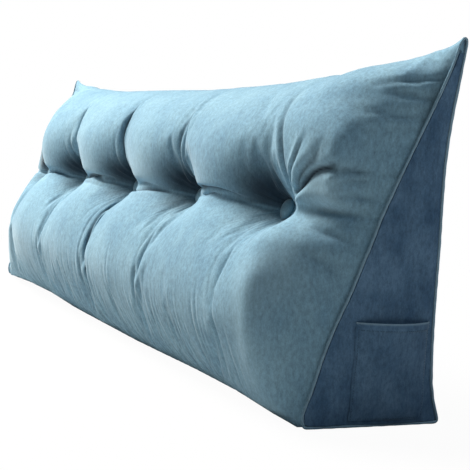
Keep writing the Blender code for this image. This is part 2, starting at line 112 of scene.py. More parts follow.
floor_mesh = bpy.data.meshes.new("floor")
half = FLOOR_SIZE / 2
floor_mesh.from_pydata([(-half, -half, 0), (half, -half, 0), (half, half, 0), (-half, half, 0)],
                       [], [(0, 1, 2, 3)])
floor_paint = bpy.data.materials.new("floor_paint")
floor_paint.use_nodes = True
tree = floor_paint.node_tree
paint = tree.nodes["Principled BSDF"]
paint.inputs["Roughness"].default_value = FLOOR_ROUGH
camera_ray = node(tree, "ShaderNodeLightPath").outputs["Is Camera Ray"]
grey = node(tree, "ShaderNodeMapRange", {"Value": camera_ray, "To Min": FLOOR_BOUNCE, "To Max": FLOOR_SEEN})
tree.links.new(grey.outputs["Result"], paint.inputs["Base Color"])
place = node(tree, "ShaderNodeNewGeometry").outputs["Position"]
away = node(tree, "ShaderNodeVectorMath", {0: place}, operation="LENGTH").outputs["Value"]
clear = node(tree, "ShaderNodeMapRange",
             {"Value": away, "From Min": GLOW_NEAR, "From Max": GLOW_FAR, "To Min": FLOOR_GLOW})
share = node(tree, "ShaderNodeMath", {0: camera_ray, 1: clear.outputs["Result"]}, operation="MULTIPLY")
glow = node(tree, "ShaderNodeEmission")
mix = node(tree, "ShaderNodeMixShader",
           {0: share.outputs[0], 1: paint.outputs["BSDF"], 2: glow.outputs["Emission"]})
tree.links.new(mix.outputs["Shader"], tree.nodes["Material Output"].inputs["Surface"])
floor_mesh.materials.append(floor_paint)
floor = placed("floor", floor_mesh)
floor.location.z = FLOOR_DROP

for name, place, aim, size, power, colour in (
        ("key_light", KEY_PLACE, KEY_AIM, KEY_SIZE, KEY_POWER, KEY_COLOUR),
        ("fill_light", FILL_PLACE, FILL_AIM, FILL_SIZE, FILL_POWER, FILL_COLOUR)):
    lamp = bpy.data.lights.new(name, "AREA")
    lamp.energy = power
    lamp.size = size
    lamp.color = colour
    light = placed(name, lamp)
    light.location = place
    light.rotation_euler = (place - aim).to_track_quat("Z", "Y").to_euler()

sky = bpy.data.worlds.new("studio")
sky.use_nodes = True
tree = sky.node_tree
camera_ray = node(tree, "ShaderNodeLightPath").outputs["Is Camera Ray"]
strength = node(tree, "ShaderNodeMapRange", {"Value": camera_ray, "To Min": SKY_LIGHT, "To Max": SKY_SEEN})
tint = node(tree, "ShaderNodeMix", {"Factor": camera_ray, "A": SKY_TINT, "B": SKY_WHITE}, data_type="RGBA")
tree.links.new(strength.outputs["Result"], tree.nodes["Background"].inputs["Strength"])
tree.links.new(tint.outputs["Result"], tree.nodes["Background"].inputs["Color"])
bpy.context.scene.world = sky
bpy.context.scene.view_settings.view_transform = "Standard"

# Cushion: one long wedge of loose filling in plush cloth. Five tufts pull its front in, with a
# fold above and below each and a crease from tuft to tuft, and each end is sewn to a side panel.
TUFTS = 5
TUFT_PITCH = 0.275
TUFT_SEAT_Y = -0.0455
TUFT_SEAT_Z = 0.264
FACE_TILT = math.radians(21.0)
DIMPLE_DEPTH = 0.010
DIMPLE_RADIUS = 0.034

# The cloth's sections from the front floor edge to the back seam, numbered from 0: in a tuft's
# fold (valley), in the middle of a lobe, in the middle of an end lobe (cheek) and at a welt (end)
Section = namedtuple(
    "Section", "row rings valley_y valley_z lobe_y lobe_z cheek_y cheek_z end_y end_z")
SECTIONS = (
    Section("floor edge", 8, -0.093, 0.000, -0.094, 0.000, -0.094, 0.000, -0.094, 0.0028),
    Section("heel", 7, -0.109, 0.020, -0.111, 0.017, -0.109, 0.018, -0.096, 0.020),
    Section("under swell", 7, -0.1235, 0.052, -0.125, 0.049, -0.118, 0.050, -0.086, 0.049),
    Section("low swell", 7, -0.138, 0.088, -0.140, 0.087, -0.122, 0.088, -0.074, 0.092),
    Section("swell", 7, -0.1470, 0.125, -0.152, 0.127, -0.118, 0.128, -0.060, 0.132),
    Section("high swell", 7, -0.138, 0.158, -0.150, 0.165, -0.108, 0.167, -0.044, 0.170),
    Section("upper swell", 8, -0.113, 0.194, -0.135, 0.202, -0.091, 0.204, -0.031, 0.207),
    Section("over swell", 14, -0.083, 0.228, -0.110, 0.239, -0.073, 0.238, -0.020, 0.238),
    Section("waist", 14, -0.050, 0.262, -0.081, 0.270, -0.058, 0.267, -0.012, 0.264),
    Section("breast foot", 9, -0.056, 0.297, -0.093, 0.288, -0.049, 0.294, -0.001, 0.293),
    Section("breast", 6, -0.067, 0.335, -0.100, 0.322, -0.038, 0.326, 0.012, 0.326),
    Section("high breast", 6, -0.070, 0.362, -0.096, 0.356, -0.023, 0.360, 0.026, 0.361),
    Section("shoulder foot", 6, -0.062, 0.392, -0.079, 0.387, -0.002, 0.392, 0.039, 0.393),
    Section("shoulder", 6, -0.0425, 0.422, -0.053, 0.415, 0.018, 0.419, 0.050, 0.421),
    Section("high shoulder", 5, -0.014, 0.4395, -0.020, 0.435, 0.034, 0.438, 0.059, 0.445),
    Section("top", 5, 0.020, 0.447, 0.015, 0.4465, 0.049, 0.450, 0.0660, 0.466),
    Section("top back", 4, 0.057, 0.4475, 0.053, 0.4475, 0.066, 0.457, 0.0700, 0.484),
    Section("back seam", 0, 0.086, 0.4415, 0.086, 0.4425, 0.085, 0.457, 0.0750, 0.4945),
)
WAIST = 8
Back = namedtuple("Back", "row rings mid_y mid_z end_y end_z")
BACK = (
    Back("back seam", 3, 0.086, 0.4420, 0.0750, 0.4945),
    Back("under seam", 2, 0.092, 0.4180, 0.0800, 0.484),
    Back("upper back", 2, 0.098, 0.360, 0.0725, 0.405),
    Back("high back", 2, 0.102, 0.290, 0.0700, 0.330),
    Back("mid back", 2, 0.104, 0.215, 0.0745, 0.235),
    Back("low back", 2, 0.104, 0.140, 0.0765, 0.140),
    Back("back heel", 2, 0.101, 0.060, 0.0810, 0.055),
    Back("back foot", 3, 0.097, 0.015, 0.0905, 0.016),
    Back("back floor edge", 0, 0.086, 0.000, 0.0950, 0.0028),
)
FLOOR_RINGS = 3

# How full each stuffed lobe is, from the far end to the pocket end
Lobe = namedtuple("Lobe", "place upper lower")
LOBES = (
    Lobe("far end", 0.85, 0.80),
    Lobe("second", 1.00, 0.97),
    Lobe("third", 1.04, 1.02),
    Lobe("fourth", 0.98, 1.00),
    Lobe("fifth", 1.05, 1.03),
    Lobe("pocket end", 1.00, 1.05),
)

# How far each tuft's fold is filled out towards its lobes, from the top down to the floor
Tuft = namedtuple("Tuft", "place top upper lower foot lean_top lean_foot")
TUFT_FOLDS = (
    Tuft("far", 0.00, 0.10, 0.15, 0.45, 0.030, 0.014),
    Tuft("second", 0.40, 0.25, 0.50, 0.60, 0.0, 0.0),
    Tuft("third", 0.25, 0.15, 0.40, 0.45, 0.0, 0.0),
    Tuft("fourth", 0.75, 0.42, 0.78, 0.90, 0.0, 0.0),
    Tuft("near", 0.95, 0.28, 0.88, 1.12, 0.0, 0.0),
)
FOLD_STOPS = (2.6, 6.4, 7.9, 8.1, 10.5, 14.5)

# Ends of the wedge, far (-1) and pocket (1): the panel's foot, its turn and its flare to the ear
END_X = {-1: 0.7230, 1: 0.7138}
END_TURN = 0.1385
END_FLARE = {-1: 0.0160, 1: 0.0251}
END_CROWN = 0.007
END_CROWN_WIDTH = 0.13
EAR_HEIGHT = 0.495
EAR_RISE = {-1: 0.030, 1: 0.024}
EAR_RISE_FROM = 0.25
EAR_RISE_FULL = 0.70
BEHIND_PANEL = 0.0026
END_ROUND = 2.0
ROUND_BELOW, ROUND_ABOVE = 2.4, 4.4
ROUND_EASED = 0.72
WAIST_CHEEK = 0.028
LOW_CHEEK = 0.002
# Rise and sag of the top edge, and lift of the front floor edge, by place along the cushion
TOP_LINE = ((-0.70, 0.000), (-0.45, 0.004), (-0.14, 0.000), (0.00, -0.003), (0.14, -0.006), (0.30, -0.006),
            (0.45, -0.009), (0.56, -0.009), (0.62, -0.003), (0.70, 0.003), (0.74, 0.000))
HEM_LINE = ((-0.72, 0.000), (-0.60, 0.005), (-0.51, 0.008), (-0.36, 0.009), (-0.20, 0.0035), (0.02, 0.0025),
            (0.15, 0.0025), (0.25, 0.004), (0.39, 0.0065), (0.52, 0.0065), (0.626, 0.0015), (0.69, 0.000))
HEM_ENDS = 2.5
SEAM_LIFT = 0.0028
SEAM_TUCK = 0.0025
FLAP_OUT = 0.014
FLAP_Z = 0.425
FLAP_HALF = 0.048
LOBE_COLUMNS = 54
END_COLUMNS = {-1: 44, 1: 100}
# Where one rule for the cloth gives way to the next, by section number: its start and its length,
# or its middle and its half width
ABOVE_WAIST = (WAIST - 0.33, 0.67)
LEAN_BEGINS, LEAN_ENDS, LEAN_FOOT = (9.2, 2.3), (13.5, 3.5), (4.2, 1.8)
NEAR_WAIST, BESIDE_WAIST = (WAIST, 1.3), (WAIST, 1.6)
NEAR_TOP, ROUND_EASES = (13.6, 3.0), (10.8, 2.2)
LOW_BEGINS, LOW_ENDS = (0.0, 2.0), (4.8, 2.0)


def smooth(t):
    """Ease from 0 to 1."""
    t = np.clip(t, 0.0, 1.0)
    return t * t * (3.0 - 2.0 * t)


def step(value, start, length):
    """Ease from 0 at the start to 1 a length further on."""
    return smooth((value - start) / length)


def hump(value, middle, half_width):
    """A soft hump of height 1."""
    return np.exp(-((value - middle) / half_width) ** 2)


def spline(points, steps):
    """Points of a smooth curve through the given ones, and each point's place among them."""
    points = np.asarray(points, float)
    ends = np.vstack((2 * points[0] - points[1], points, 2 * points[-1] - points[-2]))
    made, places = [], []
    for i, count in enumerate(steps):
        a, b, c, d = ends[i:i + 4]
        for k in range(count):
            t = k / count
            made.append(0.5 * (2 * b + (c - a) * t + (2 * a - 5 * b + 4 * c - d) * t * t
                               + (3 * b - a - 3 * c + d) * t ** 3))
            places.append(i + t)
    return np.array(made + [points[-1]]), np.array(places + [len(steps)])


front_rings = [s.rings for s in SECTIONS[:-1]]
valley, front_place = spline([(s.valley_y, s.valley_z) for s in SECTIONS], front_rings)
lobe_line = spline([(s.lobe_y, s.lobe_z) for s in SECTIONS], front_rings)[0]
cheek = spline([(s.cheek_y, s.cheek_z) for s in SECTIONS], front_rings)[0]
seam_front = spline([(s.end_y, s.end_z) for s in SECTIONS], front_rings)[0]
back_mid, back_place = spline([(b.mid_y, b.mid_z) for b in BACK], [b.rings for b in BACK[:-1]])
seam_back = spline([(b.end_y, b.end_z) for b in BACK], [b.rings for b in BACK[:-1]])[0]
front_count = len(valley)


def end_surface(y, z, end):
    """How far out a side panel's surface lies, without its sign."""
    front = np.interp(z, seam_front[:, 1], seam_front[:, 0])
    back = np.interp(z, seam_back[::-1, 1], seam_back[::-1, 0])
    across = np.clip((y - front) / np.maximum(back - front, 0.001), 0.0, 1.0)
    height = np.clip(z / EAR_HEIGHT, 0.0, 1.0)
    crown = END_CROWN * 4.0 * across * (1.0 - across) * np.sin(math.pi * height) ** 0.6
    crown = crown * smooth((back - front) / END_CROWN_WIDTH)
    return END_X[end] + END_TURN * y + END_FLARE[end] * height * height + crown


def tuft_x(index):
    """Place of one tuft along the cushion."""
    return (index - (TUFTS - 1) / 2.0) * TUFT_PITCH


def tuft_fold(folds):
    """The cloth's line in one tuft's fold, filled out towards its lobes, and how far it is filled."""
    stages = (folds.foot, folds.lower, 0.0, 0.0, folds.upper, folds.top)
    filled = np.full(front_count, stages[0])
    for k in range(len(FOLD_STOPS) - 1):
        rise = step(front_place, FOLD_STOPS[k], FOLD_STOPS[k + 1] - FOLD_STOPS[k])
        filled += (stages[k + 1] - stages[k]) * rise
    fold = valley + (lobe_line - valley) * filled[:, None]
    fold[:, 0] += folds.lean_top * step(front_place, *LEAN_BEGINS) * (1.0 - step(front_place, *LEAN_ENDS))
    fold[:, 0] += folds.lean_foot * hump(front_place, *LEAN_FOOT)
    return fold, filled


def end_lobe(fold, fullness, share):
    """The front cloth of an end lobe at one share of the way from its tuft to the welt."""
    crest = math.sin(math.pi * share ** 0.9) if share < 1.0 else 0.0
    at_waist = hump(front_place, *NEAR_WAIST)[:, None]
    crest = crest * (1.0 - at_waist * (1.0 - smooth(share / 0.40)))
    near_top = step(front_place, *NEAR_TOP)[:, None]
    slope, mid_slope = (float(smooth(s)) * 0.6 + s * 0.4 for s in (share, 0.5))
    ease = slope + (share ** 1.6 - slope) * near_top
    mid_ease = mid_slope + (0.5 ** 1.6 - mid_slope) * near_top
    base = fold + (seam_front - fold) * ease
    middle = valley + (seam_front - valley) * mid_ease
    return base + (cheek - middle) * fullness * crest


def rounded_end(front, fold, share):
    """Round the pocket end's lobe: it stays full almost to the welt and then turns in sharply."""
    fuller = np.where(front_place < WAIST, ROUND_BELOW, ROUND_ABOVE)
    fuller = fuller * (1.0 - ROUND_EASED * step(front_place, *ROUND_EASES))
    turned = END_ROUND + fuller * (1.0 - hump(front_place, *BESIDE_WAIST))
    round_y = fold[:, 0] + (seam_front[:, 0] - fold[:, 0]) * share ** turned
    out = math.sin(math.pi * share ** 0.85) * step(share, 0.10, 0.35)
    round_y -= WAIST_CHEEK * hump(front_place, *NEAR_WAIST) * out
    low = step(front_place, *LOW_BEGINS) * (1.0 - step(front_place, *LOW_ENDS))
    round_y -= LOW_CHEEK * low * math.sin(math.pi * share ** 0.7)
    front[:, 0] += (round_y - front[:, 0]) * (1.0 - step(front_place, *NEAR_TOP))


def ring(zone, tuft, share, lobe, way=1):
    """One ring of cloth. zone is 0 between tufts and -1 or 1 at an end; share counts from the
    tuft, and way says on which side of the tuft the ring lies."""
    near = tuft_x(tuft)
    fullness = (lobe.lower + (lobe.upper - lobe.lower) * step(front_place, *ABOVE_WAIST))[:, None]
    fold, filled = tuft_fold(TUFT_FOLDS[tuft])
    if zone == 0:
        crest = (math.sin(0.5 * math.pi * share) ** (0.88 + 0.9 * np.clip(filled, 0.0, 1.0)))[:, None]
        full = valley + (lobe_line - valley) * fullness
        front = fold + (full - fold) * crest
        back = back_mid[1:]
    else:
        front = end_lobe(fold, fullness, share)
        if zone > 0:
            rounded_end(front, fold, share)
        near_seam = smooth(np.interp(back_place[1:], (0.5, 2.0, 4.0), (1.0, 0.4, 0.0)))[:, None]
        ease = smooth(share) + (share ** 1.6 - smooth(share)) * near_seam
        back = back_mid[1:] + (seam_back[1:] - back_mid[1:]) * ease
    steps = (np.arange(FLOOR_RINGS)[:, None] + 1.0) / (FLOOR_RINGS + 1)
    flat = np.vstack((front, back, back[-1] + (front[0] - back[-1]) * steps))
    y, z = flat[:, 0].copy(), flat[:, 1].copy()
    if zone:
        x = near + zone * share * (end_surface(y, z, zone) - BEHIND_PANEL - abs(near))
    else:
        x = np.full(len(y), near + way * share * TUFT_PITCH / 2.0)
    dimple = np.zeros(len(y))
    for index in range(TUFTS):
        away = np.hypot(x - tuft_x(index), (z - TUFT_SEAT_Z) / math.cos(FACE_TILT))
        dimple += DIMPLE_DEPTH * hump(away, 0.0, DIMPLE_RADIUS)
    dimple[front_count - 1:] = 0.0
    y += dimple * math.cos(FACE_TILT)
    z -= dimple * math.sin(FACE_TILT)
    rise = np.clip((np.abs(x) - EAR_RISE_FROM) / (EAR_RISE_FULL - EAR_RISE_FROM), 0.0, None) ** 1.5
    rise *= np.where(x < 0, EAR_RISE[-1], EAR_RISE[1]) * step(z, 0.40, 0.05)
    z += rise * (1.0 - step(share, 0.25, 0.7) if zone else 1.0)
    z += np.interp(x, *zip(*TOP_LINE)) * step(z, 0.37, 0.07)
    hem = np.interp(x[:front_count], *zip(*HEM_LINE))
    z[:front_count] += hem * (1.0 - smooth(front_place / HEM_ENDS))
    if zone > 0:
        height = np.clip(1.0 - ((z - FLAP_Z) / FLAP_HALF) ** 2, 0.0, None)
        flap = FLAP_OUT * height ** 0.7 * step(share, 0.45, 0.3) * (1.0 - step(share, 0.88, 0.14))
        behind = slice(front_count, front_count + len(back_mid) - 1)
        y[behind] += flap[behind]
    lift = SEAM_LIFT * step(share, 0.90, 0.10) if zone else 0.0
    if zone:
        y[:front_count] += SEAM_TUCK * step(share, 0.93, 0.07) * (1.0 - step(z[:front_count], 0.41, 0.05))
    z[0] = max(lift, hem[0])
    z[front_count + len(back_mid) - 2:] = lift
    return np.stack((x, y, np.maximum(z, 0.0)), axis=1)


columns = []
for k in range(END_COLUMNS[-1], 0, -1):
    columns.append(ring(-1, 0, k / END_COLUMNS[-1], LOBES[0]))
for index in range(TUFTS):
    columns.append(ring(0, index, 0.0, LOBES[index]))
    if index < TUFTS - 1:
        for k in range(1, 2 * LOBE_COLUMNS):
            share = k / LOBE_COLUMNS
            if share <= 1.0:
                columns.append(ring(0, index, share, LOBES[index + 1]))
            else:
                columns.append(ring(0, index + 1, 2.0 - share, LOBES[index + 1], -1))
for k in range(1, END_COLUMNS[1] + 1):
    columns.append(ring(1, TUFTS - 1, k / END_COLUMNS[1], LOBES[-1]))
cloth = np.array(columns)


def outward(grid):
    """Unit normals of the cloth, pointing out of the cushion."""
    along = np.gradient(grid, axis=0)
    around = np.roll(grid, -1, axis=1) - np.roll(grid, 1, axis=1)
    normal = np.cross(around, along)
    normal *= -1.0 if normal[len(grid) // 2, 40, 1] > 0 else 1.0
    return normal / np.maximum(np.linalg.norm(normal, axis=2, keepdims=True), 1e-9)


def closed_mesh(name, verts, faces):
    """A closed mesh, shaded smooth, with its faces turned outwards."""
    mesh = bpy.data.meshes.new(name)
    mesh.from_pydata(verts, [], faces)
    shell = bmesh.new()
    shell.from_mesh(mesh)
    bmesh.ops.recalc_face_normals(shell, faces=shell.faces)
    shell.to_mesh(mesh)
    shell.free()
    mesh.shade_smooth()
    return mesh


END_RINGS = (0.93, 0.78, 0.56, 0.30)


def cloth_mesh(name, grid):
    """The closed skin of rings, with both ends closed by rings that shrink to a point."""
    verts = [tuple(p) for column in grid for p in column]
    faces = []
    count, around = grid.shape[:2]
    for c in range(count - 1):
        for r in range(around):
            n = (r + 1) % around
            faces.append((c * around + r, c * around + n, (c + 1) * around + n, (c + 1) * around + r))
    for end, column in ((-1, 0), (1, count - 1)):
        rim = grid[column]
        centre = rim.mean(axis=0)
        last = column * around
        for scale in END_RINGS:
            y = centre[1] + (rim[:, 1] - centre[1]) * scale
            z = centre[2] + (rim[:, 2] - centre[2]) * scale
            x = end * (end_surface(y, z, end) - BEHIND_PANEL)
            first = len(verts)
            verts += list(zip(x, y, z))
            for r in range(around):
                n = (r + 1) % around
                faces.append((last + r, last + n, first + n, first + r))
            last = first
        x = end * float(end_surface(centre[1], centre[2], end) - BEHIND_PANEL)
        verts.append((x, centre[1], centre[2]))
        faces += [(last + r, last + (r + 1) % around, len(verts) - 1) for r in range(around)]
    return closed_mesh(name, verts, faces)


# Cloth simulation: the skin is blown up between its seams and ties with a little more cloth than
# it needs, so that it buckles as loose plush does. Its unevenness is kept, and some of its swell.
SWELL_EVERY = 2
SWELL_ROW = 0.0050
SWELL_FRAMES = 20
SWELL_PRESSURE = 4.0
SWELL_SPARE = -0.035
SWELL_CAP = 0.008
SWELL_KEEP = 0.18
SWELL_BLUR = 30
SWELL_CALM = 0.75
SKIN_MASS = 0.20
SKIN_STIFF, SKIN_SHEAR, SKIN_BEND, SKIN_DAMPED = 12.0, 6.0, 0.35, 8.0
HELD_RADIUS, HELD_EDGE = 0.016, 0.012


def blurred(field, passes):
    """A field of the cloth's grid, smoothed along it and round it."""
    for _ in range(passes):
        field = 0.5 * field + 0.25 * (np.roll(field, 1, axis=1) + np.roll(field, -1, axis=1))
        padded = np.concatenate((field[:1], field, field[-1:]), axis=0)
        field = 0.5 * field + 0.25 * (padded[:-2] + padded[2:])
    return field


def swell(grid):
    """How far each point of the grid moves when its cloth is blown up."""
    gap = np.linalg.norm(np.diff(grid[len(grid) // 2 + LOBE_COLUMNS], axis=0), axis=1)
    rows, run = [0], 0.0
    for r in range(1, grid.shape[1]):
        run += gap[r - 1]
        if run > SWELL_ROW or r in (front_count - 1, front_count + len(back_mid) - 2):
            rows.append(r)
            run = 0.0
    picked = np.arange(0, len(grid), SWELL_EVERY)
    coarse = grid[picked][:, rows]
    skin = placed("simulated_skin", cloth_mesh("simulated_skin", coarse))
    held = np.zeros(coarse.shape[:2])
    for index in range(TUFTS):
        seat = np.array((tuft_x(index), TUFT_SEAT_Y, TUFT_SEAT_Z))
        away = np.linalg.norm(coarse - seat, axis=2)
        held = np.maximum(held, 1.0 - step(away, HELD_RADIUS, HELD_EDGE))
    held[(coarse[:, :, 2] < 0.004)] = 1.0
    held[:, 0] = 1.0
    held[:2] = held[-2:] = 1.0
    held[:, rows.index(front_count - 1)] = 1.0
    group = skin.vertex_groups.new(name="held")
    weights = np.ones(len(skin.data.vertices))
    weights[:held.size] = held.ravel()
    for v, weight in enumerate(weights):
        if weight > 0.01:
            group.add([v], float(weight), "REPLACE")
    cloth_sim = skin.modifiers.new("cloth", "CLOTH")
    how = cloth_sim.settings
    how.quality = 5
    how.mass = SKIN_MASS
    how.tension_stiffness = how.compression_stiffness = SKIN_STIFF
    how.shear_stiffness = SKIN_SHEAR
    how.bending_stiffness = SKIN_BEND
    how.tension_damping = how.compression_damping = how.shear_damping = SKIN_DAMPED
    how.vertex_group_mass = "held"
    how.use_pressure = True
    how.uniform_pressure_force = SWELL_PRESSURE
    how.shrink_min = SWELL_SPARE
    how.effector_weights.gravity = 0.0
    cloth_sim.collision_settings.use_collision = False
    for frame_number in range(1, SWELL_FRAMES + 1):
        bpy.context.scene.frame_set(frame_number)
    blown = skin.evaluated_get(bpy.context.evaluated_depsgraph_get()).data
    places = np.zeros(len(blown.vertices) * 3, np.float32)
    blown.vertices.foreach_get("co", places)
    moved = places.reshape(-1, 3)[:held.size].reshape(coarse.shape) - coarse
    bpy.data.objects.remove(skin)
    bpy.context.scene.frame_set(1)
    broad = blurred(moved, SWELL_BLUR)
    moved = moved - broad * (1.0 - SWELL_KEEP)
    moved *= np.minimum(1.0, SWELL_CAP / np.maximum(np.linalg.norm(moved, axis=2, keepdims=True), 1e-9))
    at_end = step(np.abs(coarse[:, :, 0]), 0.47, 0.08) * step(coarse[:, :, 2], 0.31, 0.08)
    at_top = step(coarse[:, :, 2], 0.395, 0.035)
    at_pocket = step(coarse[:, :, 0], 0.53, 0.06)
    calm = SWELL_CALM * np.maximum(np.maximum(at_end, at_top), at_pocket)
    moved *= ((1.0 - held) * (1.0 - calm))[..., None]
    rows = rows + [grid.shape[1]]
    moved = np.concatenate((moved, moved[:, :1]), axis=1)
    fine = np.zeros(grid.shape)
    for k in range(3):
        wide = np.array([np.interp(np.arange(grid.shape[1]), rows, column) for column in moved[:, :, k]])
        fine[:, :, k] = np.array([np.interp(np.arange(len(grid)), picked, row) for row in wide.T]).T
    return blurred(fine, 2)


cloth += swell(cloth)
cloth[:, :, 2] = np.maximum(cloth[:, :, 2], 0.0)

# Button wells: the tie pulls the cloth flat under each button and steeply up all round it
WELL_RADIUS = 0.0150
WELL_WALL = 0.0095
WELL_SLOPE = 1.7
WELL_SINK = 0.0006
WELL_CURVE = 0.012
WELL_REACH = 0.06

face = np.array((0.0, -math.cos(FACE_TILT), math.sin(FACE_TILT)))
for index in range(TUFTS):
    seat = np.array((tuft_x(index), TUFT_SEAT_Y, TUFT_SEAT_Z))
    front = cloth[:, :front_count]
    height = (front - seat) @ face
    away = np.linalg.norm(front - seat - height[..., None] * face, axis=2)
    under = smooth((WELL_RADIUS + 0.002 - away) / 0.004)
    wall = np.maximum(away - WELL_RADIUS, 0.0)
    highest = wall * WELL_SLOPE + (wall / WELL_WALL) ** 2 * WELL_CURVE
    lowered = np.where(away < WELL_REACH, np.minimum(height, highest), height)
    lowered = lowered + (-WELL_SINK - lowered) * under
    front += (lowered - height)[..., None] * face

